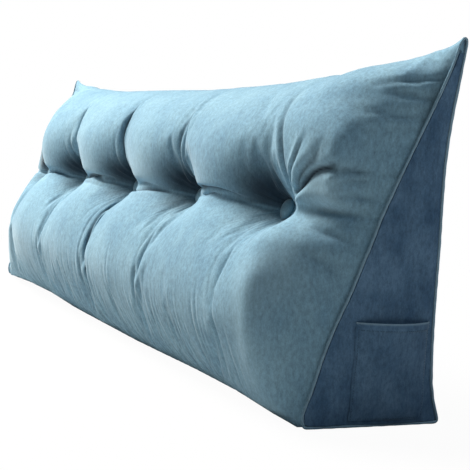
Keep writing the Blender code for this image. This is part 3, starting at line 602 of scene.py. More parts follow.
# Folds of the cloth that show: each runs along the front through a few points, given by x and by
# the section that it crosses. Width and depth are in metres, and a negative depth is a ridge. lip
# is the height beside the fold, as a share of its depth, on its left or upper side (negative) or
# its right or lower side. shade is the painted shade along it, and start and fade are its soft ends.
Fold = namedtuple("Fold", "name width depth lip shade path start fade", defaults=(0.12, 0.55))
FOLDS = (
    Fold("waist, far end", .0030, .0045, 0, .45, ((-.700, 8.0), (-.63, 7.9), (-.555, 8.0))),
    Fold("waist, second", .0032, .0055, .3, .60,
         ((-.545, 8.0), (-.47, 7.9), (-.40, 7.9), (-.33, 7.9), (-.280, 7.7))),
    Fold("waist, third", .0034, .0060, .3, .75,
         ((-.270, 8.0), (-.15, 8.1), (-.084, 8.35), (-.041, 8.0), (-.005, 7.8))),
    Fold("under waist, third", .0026, .0022, 0, .35,
         ((-.20, 7.7), (-.122, 7.6), (-.069, 7.6), (-.025, 7.6))),
    Fold("waist, fourth", .0034, .0060, .3, .80,
         ((.005, 7.9), (.07, 7.65), (.12, 7.7), (.19, 7.9), (.268, 7.9))),
    Fold("waist, fifth", .0040, .0075, .3, .95,
         ((.280, 8.3), (.34, 8.6), (.415, 8.7), (.448, 8.5), (.476, 8.15), (.50, 8.1), (.545, 8.0))),
    Fold("up from first, outer", .0030, .0024, .5, .30, ((-.556, 8.5), (-.585, 9.2), (-.60, 10.0))),
    Fold("up from first, inner", .0030, .0024, .5, .30, ((-.550, 8.6), (-.562, 9.4), (-.565, 10.4))),
    Fold("up from second, a", .0032, .0036, .5, .55,
         ((-.279, 8.4), (-.290, 9.2), (-.300, 10.2), (-.296, 11.6))),
    Fold("up from second, b", .0028, .0020, .4, .35,
         ((-.284, 8.4), (-.306, 9.2), (-.322, 10.2), (-.326, 11.0))),
    Fold("up from second, c", .0028, .0015, .4, .22, ((-.290, 8.4), (-.322, 9.0), (-.345, 9.9))),
    Fold("up from third, a", .0050, .0080, .3, .95,
         ((-.003, 8.4), (-.010, 9.6), (-.012, 11.2), (-.004, 12.8), (.002, 14.6))),
    Fold("up from third, b", .0028, .0022, .4, .38,
         ((-.008, 8.4), (-.026, 9.3), (-.034, 10.4), (-.030, 11.6))),
    Fold("up from third, c", .0026, .0015, .4, .22, ((-.014, 8.4), (-.044, 9.1), (-.058, 10.0))),
    Fold("up from fourth, a", .0032, .0034, .5, .45,
         ((.272, 8.4), (.262, 9.4), (.262, 10.8), (.272, 12.4), (.280, 13.6))),
    Fold("up from fourth, b", .0028, .0020, .4, .28,
         ((.266, 8.4), (.244, 9.2), (.236, 10.4), (.240, 11.6))),
    Fold("up from fourth, c", .0028, .0015, .4, .18, ((.262, 8.4), (.226, 9.0), (.208, 9.9))),
    Fold("up from fifth, a", .0034, .0036, -.5, .42,
         ((.570, 8.7), (.578, 9.1), (.581, 9.6), (.581, 10.5), (.570, 11.7), (.558, 12.8), (.548, 14.0))),
    Fold("up from fifth, b", .0030, .0016, -.4, .18,
         ((.556, 8.7), (.548, 9.4), (.543, 10.6), (.540, 12.0))),
    Fold("right of fifth, b", .0022, .0034, -.6, .55,
         ((.594, 8.9), (.598, 9.4), (.603, 9.8), (.613, 10.2), (.625, 10.8), (.642, 11.5))),
    Fold("right of fifth, c", .0044, .0050, -.4, .60,
         ((.600, 8.8), (.611, 9.1), (.621, 9.6), (.637, 10.0), (.654, 10.35), (.676, 11.2)), .12, .45),
    Fold("right of fifth, ridge", .0024, -.0028, 0, 0,
         ((.606, 8.9), (.619, 9.3), (.637, 9.9), (.654, 10.35), (.672, 10.9))),
    Fold("right of fifth, deep", .0058, .0110, 0, .97,
         ((.600, 8.75), (.616, 9.0), (.627, 9.3), (.642, 9.68), (.657, 9.9), (.671, 10.03), (.685, 10.2))),
    Fold("right of fifth, swell", .0150, -.0060, 0, 0,
         ((.596, 8.5), (.622, 8.75), (.652, 8.95), (.690, 9.0)), .25),
    Fold("right of fifth, crest", .0220, -.0120, 0, 0,
         ((.666, 7.4), (.674, 8.6), (.678, 9.8), (.690, 12.0)), .38),
    Fold("lower right, crest", .0220, -.0080, 0, 0,
         ((.606, 6.8), (.630, 5.3), (.642, 4.0), (.636, 2.6), (.622, 1.2)), .35),
    Fold("right of fifth, tip", .0018, -.0024, 0, 0, ((.672, 9.72), (.686, 10.08))),
    Fold("right of fifth, hook", .0050, .0046, 0, .50,
         ((.668, 10.0), (.684, 9.98), (.696, 9.9), (.712, 9.8)), .40),
    Fold("right of fifth, lip", .0026, -.0026, 0, 0, ((.664, 9.72), (.684, 9.72), (.702, 9.74))),
    Fold("right of fifth, r5", .0050, .0034, 0, .26, ((.676, 9.55), (.694, 9.57), (.712, 9.6)), .40),
    Fold("right of fifth, r6", .0050, .0028, 0, .22, ((.668, 9.05), (.690, 8.93), (.716, 8.8)), .40),
    Fold("right of fifth, f", .0050, .0050, .5, .34,
         ((.630, 8.40), (.648, 8.22), (.664, 8.12), (.684, 8.1), (.712, 8.1)), .50, .50),
    Fold("right of fifth, g", .0060, .0036, 0, .20,
         ((.648, 7.5), (.670, 7.15), (.687, 7.0), (.708, 6.7)), .45),
    Fold("right of fifth, h", .0065, .0036, 0, .16,
         ((.656, 6.6), (.675, 6.2), (.692, 5.9), (.706, 5.1)), .45),
    Fold("down from first", .0032, .0020, .3, .25,
         ((-.552, 7.5), (-.562, 6.4), (-.560, 5.0), (-.552, 3.2))),
    Fold("down from second, a", .0034, .0014, 0, .25,
         ((-.277, 7.5), (-.286, 6.4), (-.284, 5.0), (-.274, 2.6))),
    Fold("down from second, b", .0024, .0010, .3, .14, ((-.284, 7.4), (-.306, 6.5), (-.312, 5.4))),
    Fold("down from third, a", .0034, .0046, 0, .90,
         ((-.002, 7.4), (-.010, 6.2), (-.004, 4.8), (.008, 3.9), (.014, 3.3), (.014, 2.7), (.022, 2.0),
          (.050, .8))),
    Fold("down from third, b", .0022, .0018, .3, .35,
         ((-.008, 7.4), (-.028, 6.2), (-.026, 4.8), (-.016, 3.4), (.010, 1.0))),
    Fold("down from third, c", .0022, .0010, .3, .16, ((-.016, 7.3), (-.054, 6.3), (-.062, 5.2))),
    Fold("down from fourth, a", .0030, .0010, 0, .16, ((.272, 7.5), (.262, 6.4), (.260, 5.0), (.272, 3.2))),
    Fold("down from fourth, b", .0024, .0010, .3, .12, ((.266, 7.4), (.240, 6.5), (.232, 5.4))),
    Fold("down from fifth, a", .0030, .0008, 0, .10, ((.545, 7.5), (.530, 6.6), (.528, 5.4), (.536, 4.4))),
    Fold("down from fifth, b", .0024, .0010, .3, .10, ((.538, 7.4), (.506, 6.5), (.494, 5.6))),
    Fold("top edge, near end", .0026, .0022, .4, .35, ((.612, 14.3), (.626, 14.8), (.644, 15.2))),
    Fold("ear, upper", .0040, .0034, -.5, .25, ((.750, 14.0), (.712, 13.7), (.665, 13.3))),
    Fold("ear, lower", .0042, .0036, -.5, .28, ((.750, 12.5), (.719, 12.95), (.675, 13.1))),
    Fold("ear, tip", .0170, .0006, 0, .42, ((.752, 11.3), (.750, 13.5), (.750, 15.5), (.750, 17.0)), .25),
    Fold("ear, lowest", .0040, .0030, -.5, .20, ((.750, 11.7), (.705, 12.1), (.665, 12.3))),
)
CREASE_STEP = 0.0020
CREASE_REACH = 7.5
LIP_PLACE, LIP_WIDE = 2.5, 1.7
SHADE_NARROW = 0.75
SPLINE_STEPS = 8


def front_point(x, place):
    """The point of the front cloth at a place along the cushion and up its sections."""
    row = float(np.interp(place, front_place, np.arange(front_count)))
    low = min(int(row), front_count - 2)
    found = []
    for r in (low, low + 1):
        column = np.interp(x, cloth[:, r, 0], np.arange(len(cloth)))
        left = min(int(column), len(cloth) - 2)
        found.append(cloth[left, r] + (cloth[left + 1, r] - cloth[left, r]) * (column - left))
    return found[0] + (found[1] - found[0]) * (row - low)


crease_push = np.zeros(cloth.shape[:2])
crease_shade = np.zeros(cloth.shape[:2])
front_normals = outward(cloth)[:, :front_count]
front_cloth = cloth[:, :front_count].copy()


def press_fold(fold):
    """Add one fold's depth and shade to the two fields of the front cloth."""
    path = spline(fold.path, [SPLINE_STEPS] * (len(fold.path) - 1))[0]
    line = np.array([front_point(x, place) for x, place in path])
    run = np.concatenate(([0.0], np.cumsum(np.linalg.norm(np.diff(line, axis=0), axis=1))))
    count = max(int(run[-1] / CREASE_STEP), 4)
    at = np.linspace(0.0, run[-1], count + 1)
    line = np.stack([np.interp(at, run, line[:, k]) for k in range(3)], axis=1)
    reach = fold.width * CREASE_REACH
    low, high = line.min(axis=0) - reach, line.max(axis=0) + reach
    near = np.all((front_cloth > low) & (front_cloth < high), axis=2)
    points, facing = front_cloth[near], front_normals[near]
    away = np.linalg.norm(points[:, None] - line[None], axis=2)
    nearest = np.argmin(away, axis=1)
    distance = away[np.arange(len(points)), nearest]
    heading = np.gradient(line, axis=0)[nearest]
    heading /= np.linalg.norm(heading, axis=1, keepdims=True)
    side_of = np.einsum("ij,ij->i", np.cross(heading, facing), points - line[nearest])
    along = nearest / count
    wide = fold.width * (0.75 + 0.75 * along) if fold.lip else fold.width
    if fold.lip:
        taper = smooth(along / fold.start) * smooth((1.0 - along) / fold.fade)
    else:
        taper = smooth(np.minimum(along, 1.0 - along) / fold.start)
    trough = hump(distance, 0.0, wide)
    lip = hump(side_of * np.sign(fold.lip), LIP_PLACE * wide, LIP_WIDE * wide)
    crease_push[:, :front_count][near] += taper * fold.depth * (abs(fold.lip) * lip - trough)
    shade = fold.shade * taper * hump(distance, 0.0, SHADE_NARROW * wide)
    held = crease_shade[:, :front_count][near]
    crease_shade[:, :front_count][near] = np.maximum(held, shade)


for fold in FOLDS:
    press_fold(fold)

# Painted shadow: a dark pool is painted where the upper cloth dives down to a tuft, over its far
# side, and a little below it too. Below the waist painted shade makes the cloth a shade darker. The
# pools are given by their middle beside and above a tuft and by their half widths.
POOL_SHADE = 0.95
POOL_PLACE = (-0.024, 0.022)
POOL_WIDE = 0.062
POOL_HIGH = (0.030, 0.030, 0.033, 0.036, 0.043)
POOL_EDGE = 2.6
POOL_ABOVE = (7.9, 0.25)
POOL_STOPS = (-0.002, 0.016)
UNDER_SHADE = (0.45, 0.45, 0.50, 0.58, 0.32)
UNDER_PLACE, UNDER_SIZE = (-0.030, -0.012), (0.042, 0.021)
LOW_PAINTED_SHADE = 0.05
LOW_PAINTED_SHADE_ENDS, LOW_PAINTED_SHADE_BEGINS = (6.0, 1.6), (-0.65, 0.35)
# Painted light: lighter patches painted where light falls on the cloth, given by their place
# along the cushion, height over the tufts, half width, half height and strength
PAINTED_LIGHT_PATCHES = ((-0.550, -0.180, 0.240, 0.080, 0.32), (-0.130, 0.020, 0.045, 0.030, 0.38),
              (0.145, 0.028, 0.050, 0.032, 0.42), (0.655, 0.040, 0.024, 0.045, 0.36),
              (0.622, -0.165, 0.032, 0.085, 0.17), (0.643, -0.070, 0.034, 0.040, 0.20))

front_x, over_tufts = front_cloth[:, :, 0], front_cloth[:, :, 2] - TUFT_SEAT_Z
for index in range(TUFTS):
    beside = front_x - tuft_x(index)
    away = np.hypot((beside - POOL_PLACE[0]) / POOL_WIDE, (over_tufts - POOL_PLACE[1]) / POOL_HIGH[index])
    pool = POOL_SHADE * np.exp(-away ** POOL_EDGE)
    pool *= step(front_place, *POOL_ABOVE) * (1.0 - step(beside, *POOL_STOPS))
    away = np.hypot((beside - UNDER_PLACE[0]) / UNDER_SIZE[0], (over_tufts - UNDER_PLACE[1]) / UNDER_SIZE[1])
    pool = np.maximum(pool, UNDER_SHADE[index] * hump(away, 0.0, 1.0))
    crease_shade[:, :front_count] = np.maximum(crease_shade[:, :front_count], pool)
low_painted_shade = LOW_PAINTED_SHADE * (1.0 - step(front_place, *LOW_PAINTED_SHADE_ENDS)) * step(front_x, *LOW_PAINTED_SHADE_BEGINS)
crease_shade[:, :front_count] = 1.0 - (1.0 - crease_shade[:, :front_count]) * (1.0 - low_painted_shade)
painted_light = np.zeros(cloth.shape[:2])
for x, high, wide, tall, strength in PAINTED_LIGHT_PATCHES:
    away = np.hypot((front_x - x) / wide, (over_tufts - high) / tall)
    painted_light[:, :front_count] += strength * hump(away, 0.0, 1.0)

# Small gathers: short folds of uneven length, up from the floor seam, and in from each welt, with painted
# shade in their troughs
HEM_GATHERS = 150
HEM_FROM, HEM_TO = -0.66, 0.60
HEM_CALM = (0.36, 0.2)
HEM_PATH = (0.012, 0.003, -0.003)
HEM_WIDE, HEM_DEEP, HEM_PAINTED_SHADE = 0.0024, 0.0023, 0.30
WELT_GATHERS = 15
WELT_FROM, WELT_UP = 3.0, 12.0
WELT_EDGE, WELT_INSIDE = 0.760, 0.735
WELT_WIDE, WELT_DEEP, WELT_PAINTED_SHADE = 0.0026, 0.0018, 0.16
chance = np.random.default_rng(7)
for k in range(HEM_GATHERS):
    x = HEM_FROM + (HEM_TO - HEM_FROM) * (k + chance.uniform(-0.35, 0.35)) / (HEM_GATHERS - 1)
    top = chance.uniform(1.4, 3.0) + (3.4 * chance.random() if chance.random() < 0.45 else 0.0)
    strength = chance.uniform(0.5, 1.0) * (1.0 - 0.6 * float(step(x, *HEM_CALM)))
    path = tuple((x + shift, height) for shift, height in zip(HEM_PATH, (0.02, 1.0, top)))
    press_fold(Fold("hem", HEM_WIDE, HEM_DEEP * strength, 0.5, HEM_PAINTED_SHADE * strength, path, 0.02))
for end in (-1, 1):
    for k in range(WELT_GATHERS):
        place = WELT_FROM + WELT_UP * (k + chance.uniform(-0.3, 0.3)) / (WELT_GATHERS - 1)
        length = chance.uniform(0.018, 0.045)
        strength = chance.uniform(0.4, 1.0)
        path = ((end * WELT_EDGE, place), (end * (WELT_INSIDE - length), place + chance.uniform(-0.2, 0.4)))
        press_fold(Fold("welt", WELT_WIDE, WELT_DEEP * strength, -0.4, WELT_PAINTED_SHADE * strength, path))
cloth += outward(cloth) * crease_push[..., None]
cloth[:, front_count:, 2] = np.maximum(cloth[:, front_count:, 2], 0.0)

cushion = placed("tufted_cushion", cloth_mesh("tufted_cushion", cloth))


def cloth_layer(name, values, empty):
    """Store values given for the cloth's grid on the cushion's mesh, as numbers or as vectors."""
    width = values.shape[2] if values.ndim == 3 else 1
    stored = np.full((len(cushion.data.vertices), width), empty, np.float32)
    stored[:values.shape[0] * values.shape[1]] = values.reshape(-1, width)
    kind, field = ("FLOAT_VECTOR", "vector") if width == 3 else ("FLOAT", "value")
    cushion.data.attributes.new(name, kind, "POINT").data.foreach_set(field, stored.ravel())


# The cloth's painted shade and painted light go to its shader as two attributes.
cloth_layer("fold_shade", crease_shade, 0.0)
cloth_layer("wear_and_painted_light", painted_light, 0.0)

# Fine gathers, finer than the mesh: the shader draws them along runs laid on the cloth, one up
# from the floor seam and one out from each tuft
HEM_LEAN = 0.35
HEM_LEAN_TO = 0.10
HEM_CALM_RUN = 4.5
HEM_CALM_FROM = (0.42, 0.16)
FAR_UP, FAR_OUT = 30.0, 9.0
grid_run = np.full(cloth.shape, FAR_UP)
run_x = front_x + HEM_LEAN * np.minimum(front_cloth[:, :, 2], HEM_LEAN_TO)
run_up = front_place + HEM_CALM_RUN * step(front_x, *HEM_CALM_FROM)
grid_run[:, :front_count] = np.stack((run_x, front_cloth[:, :, 2], run_up), axis=2)
cloth_layer("hem_run", grid_run, 0.0)
grid_run = np.full(cloth.shape, FAR_OUT)
across = front_x - np.clip(np.round(front_x / TUFT_PITCH), -2, 2) * TUFT_PITCH
out = np.maximum(np.hypot(across, over_tufts), 1e-6)
grid_run[:, :front_count] = np.stack((across / out, over_tufts / out, out), axis=2)
cloth_layer("tuft_run", grid_run, FAR_OUT)

# The shader group of the nap: its inputs by name, with the values that they start from
# The last two colours are the tone for wear and painted light, and the near black of painted shade.
NAP_COLOURS = (("Pile Colour", (0.2, 0.4, 0.5, 1.0)), ("Brushed Colour", (0.3, 0.5, 0.6, 1.0)),
               ("Wear And Light Colour", (0.42, 0.60, 0.70, 1.0)), ("Painted Shade Colour", (0.008, 0.016, 0.028, 1.0)))
NAP_NUMBERS = (("Patch Scale", 7.0), ("Crush Scale", 45.0), ("Pile Scale", 700.0), ("Streak Scale", 240.0),
               ("Pile Contrast", 0.75), ("Wear And Painted Light", 0.0), ("Fold Shade", 0.0))
NAP_NOISE_ROUGH = 0.6


def nap_group():
    """Shader group for plush, on Object coordinates: brushed patches, crush marks and fine pile,
    lighter with wear and with painted light, and darker with painted shade."""
    group = bpy.data.node_groups.new("plush_nap", "ShaderNodeTree")
    socket = group.interface.new_socket
    for kind, inputs in (("NodeSocketColor", NAP_COLOURS), ("NodeSocketFloat", NAP_NUMBERS)):
        for name, value in inputs:
            socket(name, in_out="INPUT", socket_type=kind).default_value = value
    socket("Colour", in_out="OUTPUT", socket_type="NodeSocketColor")
    socket("Height", in_out="OUTPUT", socket_type="NodeSocketFloat")
    given = node(group, "NodeGroupInput").outputs
    where = node(group, "ShaderNodeTexCoord").outputs["Object"]

    def noise(scale, detail, stretch):
        mapping = node(group, "ShaderNodeMapping", {"Vector": where, "Scale": stretch})
        made = node(group, "ShaderNodeTexNoise", {"Vector": mapping.outputs["Vector"], "Scale": given[scale],
                                                  "Detail": detail, "Roughness": NAP_NOISE_ROUGH})
        return made.outputs["Fac"]

    def scaled(value, low, high, most):
        ramp = node(group, "ShaderNodeMapRange",
                    {"Value": value, "From Min": low, "From Max": high, "To Max": most})
        return ramp.outputs["Result"]

    def combine(operation, first, second):
        return node(group, "ShaderNodeMath", {0: first, 1: second}, operation=operation).outputs[0]

    def blend(share, first, second):
        mixed = node(group, "ShaderNodeMix", {"Factor": share, "A": first, "B": second}, data_type="RGBA")
        return mixed.outputs["Result"]

    patch = scaled(noise("Patch Scale", 3.0, (1.0, 1.0, 1.0)), 0.32, 0.68, 0.55)
    crush = scaled(noise("Crush Scale", 4.0, (1.0, 1.0, 0.45)), 0.30, 0.70, 0.45)
    pile = noise("Pile Scale", 3.0, (1.0, 1.0, 0.6))
    streak = noise("Streak Scale", 2.0, (1.0, 1.0, 0.50))
    grain = combine("ADD", combine("MULTIPLY", pile, 0.45), combine("MULTIPLY", streak, 0.55))
    speck = combine("MULTIPLY", combine("SUBTRACT", grain, 0.5), given["Pile Contrast"])
    bright = combine("ADD", combine("MULTIPLY", speck, 2.0), 1.0)
    cloth_tone = blend(combine("ADD", patch, crush), given["Pile Colour"], given["Brushed Colour"])
    tone = node(group, "ShaderNodeHueSaturation", {"Value": bright, "Color": cloth_tone})
    worn_and_lit = blend(given["Wear And Painted Light"], tone.outputs["Color"], given["Wear And Light Colour"])
    folded = blend(given["Fold Shade"], worn_and_lit, given["Painted Shade Colour"])
    height = combine("ADD", combine("MULTIPLY", crush, 0.8), combine("MULTIPLY", pile, 0.5))
    node(group, "NodeGroupOutput", {"Colour": folded, "Height": height})
    return group


plush_nap = nap_group()
PLUSH_SURFACE = (("Roughness", 0.92), ("Specular IOR Level", 0.15), ("Sheen Roughness", 0.38),
                 ("Sheen Tint", (0.88, 0.96, 1.0, 1.0)))
NAP_BUMP, NAP_HEIGHT = 0.35, 0.0006


def plush_material(name, pile, brushed, sheen, patches=7.0):
    """Plush cloth of one piece, in its own two tones."""
    material = bpy.data.materials.new(name)
    material.use_nodes = True
    tree = material.node_tree
    shader = tree.nodes["Principled BSDF"]
    for socket, value in PLUSH_SURFACE + (("Sheen Weight", sheen),):
        shader.inputs[socket].default_value = value
    # The two attributes carry painted shade, and wear on the welts together with painted light on the
    # cushion and the pocket's rim.
    shade = node(tree, "ShaderNodeAttribute", attribute_name="fold_shade").outputs["Fac"]
    lightened = node(tree, "ShaderNodeAttribute", attribute_name="wear_and_painted_light").outputs["Fac"]
    nap = node(tree, "ShaderNodeGroup",
               {"Pile Colour": pile, "Brushed Colour": brushed, "Patch Scale": patches,
                "Wear And Painted Light": lightened, "Fold Shade": shade}, node_tree=plush_nap)
    bump = node(tree, "ShaderNodeBump",
                {"Height": nap.outputs["Height"], "Strength": NAP_BUMP, "Distance": NAP_HEIGHT})
    tree.links.new(nap.outputs["Colour"], shader.inputs["Base Color"])
    tree.links.new(bump.outputs["Normal"], shader.inputs["Normal"])
    return material


def gathered(material):
    """Add the fine gathers along both runs to a plush material, as height and as a little shade."""
    tree = material.node_tree
    shader = tree.nodes["Principled BSDF"]

    def runs(attribute, scale, full, gone):
        """Fine lines along one run, fading from full to gone by its third value."""
        source = node(tree, "ShaderNodeAttribute", attribute_name=attribute).outputs["Vector"]
        stretch = node(tree, "ShaderNodeMapping", {"Vector": source, "Scale": scale}).outputs["Vector"]
        lines = node(tree, "ShaderNodeTexNoise", {"Vector": stretch, "Scale": 1.0, "Detail": 2.0})
        along = node(tree, "ShaderNodeSeparateXYZ", {"Vector": source}).outputs["Z"]
        fade = node(tree, "ShaderNodeMapRange",
                    {"Value": along, "From Min": full, "From Max": gone, "To Min": 1.0, "To Max": 0.0},
                    interpolation_type="SMOOTHSTEP")
        level = node(tree, "ShaderNodeMath", {0: lines.outputs["Fac"], 1: 0.5}, operation="SUBTRACT")
        strength = node(tree, "ShaderNodeMath", {0: level.outputs[0], 1: fade.outputs["Result"]},
                        operation="MULTIPLY")
        return strength.outputs[0]

    lines = {0: runs("hem_run", HEM_LINES, HEM_FULL, HEM_GONE),
             1: runs("tuft_run", TUFT_LINES, TUFT_FULL, TUFT_GONE)}
    both = node(tree, "ShaderNodeMath", lines, operation="ADD").outputs[0]
    nap_normal = shader.inputs["Normal"].links[0].from_socket
    relief = node(tree, "ShaderNodeBump",
                  {"Height": both, "Strength": 1.0, "Distance": GATHER_HEIGHT, "Normal": nap_normal})
    darker = node(tree, "ShaderNodeMath", {0: both, 1: GATHER_SHADE, 2: 1.0}, operation="MULTIPLY_ADD")
    colour = shader.inputs["Base Color"].links[0].from_socket
    tone = node(tree, "ShaderNodeHueSaturation", {"Value": darker.outputs[0], "Color": colour})
    tree.links.new(relief.outputs["Normal"], shader.inputs["Normal"])
    tree.links.new(tone.outputs["Color"], shader.inputs["Base Color"])


HEM_LINES = (125.0, 7.0, 0.0)
HEM_FULL, HEM_GONE = 0.8, 6.5
TUFT_LINES = (7.5, 7.5, 16.0)
TUFT_FULL, TUFT_GONE = 0.022, 0.105
GATHER_HEIGHT = 0.0022
GATHER_SHADE = 0.80
CUSHION_PILE = (0.151, 0.288, 0.398, 1.0)
CUSHION_BRUSHED = (0.246, 0.413, 0.512, 1.0)
CUSHION_SHEEN = 0.20
cushion_material = plush_material("cushion_plush", CUSHION_PILE, CUSHION_BRUSHED, CUSHION_SHEEN)
gathered(cushion_material)
cushion.data.materials.append(cushion_material)
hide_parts("cushion_body")
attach(cushion, "root")

# Side panels: a flat panel of the same cloth closes each end of the wedge. It is 2 mm thick, is
# sewn into the welt all round, and bows a little where the filling presses on it.
PANEL_THICK = 0.0020
PANEL_INSET = 0.0026
PANEL_FOOT = SEAM_LIFT + PANEL_INSET
PANEL_TOP = 0.474
PANEL_CORNER = 0.003
PANEL_ROWS = 150
PANEL_COLUMNS = 46
# The panel's two tones are the cushion's cloth painted darker: painted shade, which the pocket shares.
PANEL_SHADED_PILE = (0.049, 0.108, 0.192, 1.0)
PANEL_SHADED_BRUSHED = (0.132, 0.233, 0.352, 1.0)
PANEL_SHEEN, PANEL_PATCHES = 0.20, 20.0
PANEL_WAVES = (0.0013, 0.0009)
PANEL_PUCKER, PUCKER_REACH = 0.0004, 0.012
SHEET_SHARP = math.radians(55.0)


def cloth_sheet(name, inner, outer):
    """A closed thin sheet between two grids of points with the same rows."""
    rows, count = inner.shape[:2]
    verts = [tuple(p) for grid in (inner, outer) for row in grid for p in row]
    faces = []
    for level in (0, rows * count):
        for r in range(rows - 1):
            for c in range(count - 1):
                at = level + r * count + c
                faces.append((at, at + 1, at + count + 1, at + count))
    rim = list(range(count)) + [r * count + count - 1 for r in range(1, rows)]
    rim += [(rows - 1) * count + c for c in range(count - 2, -1, -1)]
    rim += [r * count for r in range(rows - 2, 0, -1)]
    for a, b in zip(rim, rim[1:] + rim[:1]):
        faces.append((a, b, b + rows * count, a + rows * count))
    mesh = closed_mesh(name, verts, faces)
    mesh.set_sharp_from_angle(angle=SHEET_SHARP)
    return placed(name, mesh)


def panel_slack(y, z, end):
    """Shallow unevenness of a panel, in metres: long soft waves and small puckers at its seams."""
    wave = PANEL_WAVES[0] * (1.0 + np.sin(34.0 * z + 19.0 * y + 0.7 * end) * np.sin(41.0 * y - 13.0 * z))
    wave += PANEL_WAVES[1] * (1.0 + np.sin(88.0 * z - 61.0 * y + 1.9 * end) * np.sin(23.0 * z + 1.3))
    front = np.interp(z, seam_front[:, 1], seam_front[:, 0])
    back = np.interp(z, seam_back[::-1, 1], seam_back[::-1, 0])
    near_seam = np.exp(-np.maximum(y - front, 0.0) / PUCKER_REACH)
    pucker = 1.0 + np.sin(z * 330.0 + 2.0 * np.sin(z * 57.0)) * np.sin(z * 71.0)
    wave = wave * step(y, front, 0.03) * (1.0 - step(y, back - 0.02, 0.02))
    return wave + PANEL_PUCKER * near_seam * pucker


panel_material = plush_material("panel_plush", PANEL_SHADED_PILE, PANEL_SHADED_BRUSHED, PANEL_SHEEN, PANEL_PATCHES)
for part, end in (("side_panel_right", 1), ("side_panel_left", -1)):
    z = PANEL_FOOT + (PANEL_TOP - PANEL_FOOT) * np.linspace(0.0, 1.0, PANEL_ROWS)[:, None]
    across = np.linspace(0.0, 1.0, PANEL_COLUMNS)[None, :]
    corner = PANEL_CORNER * np.clip(1.0 - (z - PANEL_FOOT) / PANEL_CORNER, 0.0, 1.0)
    y0 = np.interp(z, seam_front[:, 1], seam_front[:, 0]) + PANEL_INSET * 1.12 + corner
    y1 = np.interp(z, seam_back[::-1, 1], seam_back[::-1, 0]) - PANEL_INSET * 1.05 - corner
    y = y0 + (y1 - y0) * across
    z = z + 0.0 * y
    out = end_surface(y, z, end) + panel_slack(y, z, end)
    inner = np.stack((end * (out - PANEL_THICK), y, z), axis=2)
    outer = np.stack((end * out, y, z), axis=2)
    panel = cloth_sheet(part.replace("side_panel", "end_panel"), inner, outer)
    panel.data.materials.append(panel_material)
    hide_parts(part)
    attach(panel, "root")

# Welts: a narrow strip folded over itself is caught in the seam round each side panel, and
# stands up as a thin ridge. It runs out to nothing at the tip of the ear.
WELT_RADIUS = 0.0019
WELT_TIP_RADIUS = 0.0013
WELT_CORNER = 0.0024
WELT_STEP = 0.0022
WELT_SIDES = 14
WELT_WEAR = 0.5
WELT_PILE = (0.130, 0.235, 0.320, 1.0)
WELT_BRUSHED = (0.205, 0.335, 0.425, 1.0)
WELT_SHEEN = 0.30


def rounded_corner(before, corner, after, steps):
    """An arc that takes the place of one sharp corner of the welt's path."""
    before, corner, after = Vector(before), Vector(corner), Vector(after)
    u, v = (before - corner).normalized(), (after - corner).normalized()
    half_angle = 0.5 * u.angle(v)
    centre = corner + (u + v).normalized() * WELT_CORNER / math.sin(half_angle)
    start = corner + u * WELT_CORNER / math.tan(half_angle)
    stop = corner + v * WELT_CORNER / math.tan(half_angle)
    points = []
    for k in range(steps + 1):
        spoke = (start - centre).lerp(stop - centre, k / steps).normalized()
        points.append(centre + spoke * WELT_CORNER)
    return points


front_foot, back_foot = Vector(seam_front[0]), Vector(seam_back[-1])
path = rounded_corner(back_foot, front_foot, seam_front[8], 6)
path += [Vector(p) for p in seam_front if p[1] > path[-1].y + 0.002]
path += [Vector(p) for p in seam_back[1:] if p[1] > 0.018]
path += rounded_corner(seam_back[-4], back_foot, front_foot, 6)
path = np.array(path + path[:1])
run = np.concatenate(([0.0], np.cumsum(np.linalg.norm(np.diff(path, axis=0), axis=1))))
count = int(run[-1] / WELT_STEP)
spaced = np.linspace(0.0, run[-1], count, endpoint=False)
welt_line = np.stack((np.interp(spaced, run, path[:, 0]), np.interp(spaced, run, path[:, 1])), axis=1)
for _ in range(3):
    welt_line = 0.5 * welt_line + 0.25 * (np.roll(welt_line, 1, axis=0) + np.roll(welt_line, -1, axis=0))

welt_material = plush_material("welt_plush", WELT_PILE, WELT_BRUSHED, WELT_SHEEN)
for part, end in (("piping_right", 1), ("piping_left", -1)):
    ahead = np.roll(welt_line, -1, axis=0) - np.roll(welt_line, 1, axis=0)
    ahead /= np.linalg.norm(ahead, axis=1, keepdims=True)
    out = np.stack((ahead[:, 1], -ahead[:, 0]), axis=1)
    radius = WELT_RADIUS + (WELT_TIP_RADIUS - WELT_RADIUS) * step(welt_line[:, 1], 0.42, 0.06)
    radius = radius * (1.0 + 0.06 * np.sin(spaced * 310.0) * np.sin(spaced * 47.0))
    x = end_surface(welt_line[:, 0], welt_line[:, 1], end) - PANEL_THICK + radius
    verts = []
    for s in range(WELT_SIDES):
        angle = 2 * math.pi * s / WELT_SIDES
        flat = welt_line + out * (math.cos(angle) * radius)[:, None]
        verts.append(np.stack((end * (x + math.sin(angle) * radius), flat[:, 0], flat[:, 1]), axis=1))
    verts = np.array(verts).transpose(1, 0, 2).reshape(-1, 3)
    faces = []
    for k in range(count):
        for s in range(WELT_SIDES):
            n, m = (s + 1) % WELT_SIDES, (k + 1) % count
            faces.append((k * WELT_SIDES + s, k * WELT_SIDES + n, m * WELT_SIDES + n, m * WELT_SIDES + s))
    mesh = closed_mesh(part.replace("piping", "welt"), verts.tolist(), faces)
    crest = 0.5 + 0.5 * np.cos(2 * math.pi * np.arange(WELT_SIDES) / WELT_SIDES - 0.6)
    lightened_layer = mesh.attributes.new("wear_and_painted_light", "FLOAT", "POINT")
    lightened_layer.data.foreach_set("value", np.tile(WELT_WEAR * crest ** 2, count).astype(np.float32))
    mesh.materials.append(welt_material)
    welt = placed(mesh.name, mesh)
    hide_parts(part)
    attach(welt, "root")

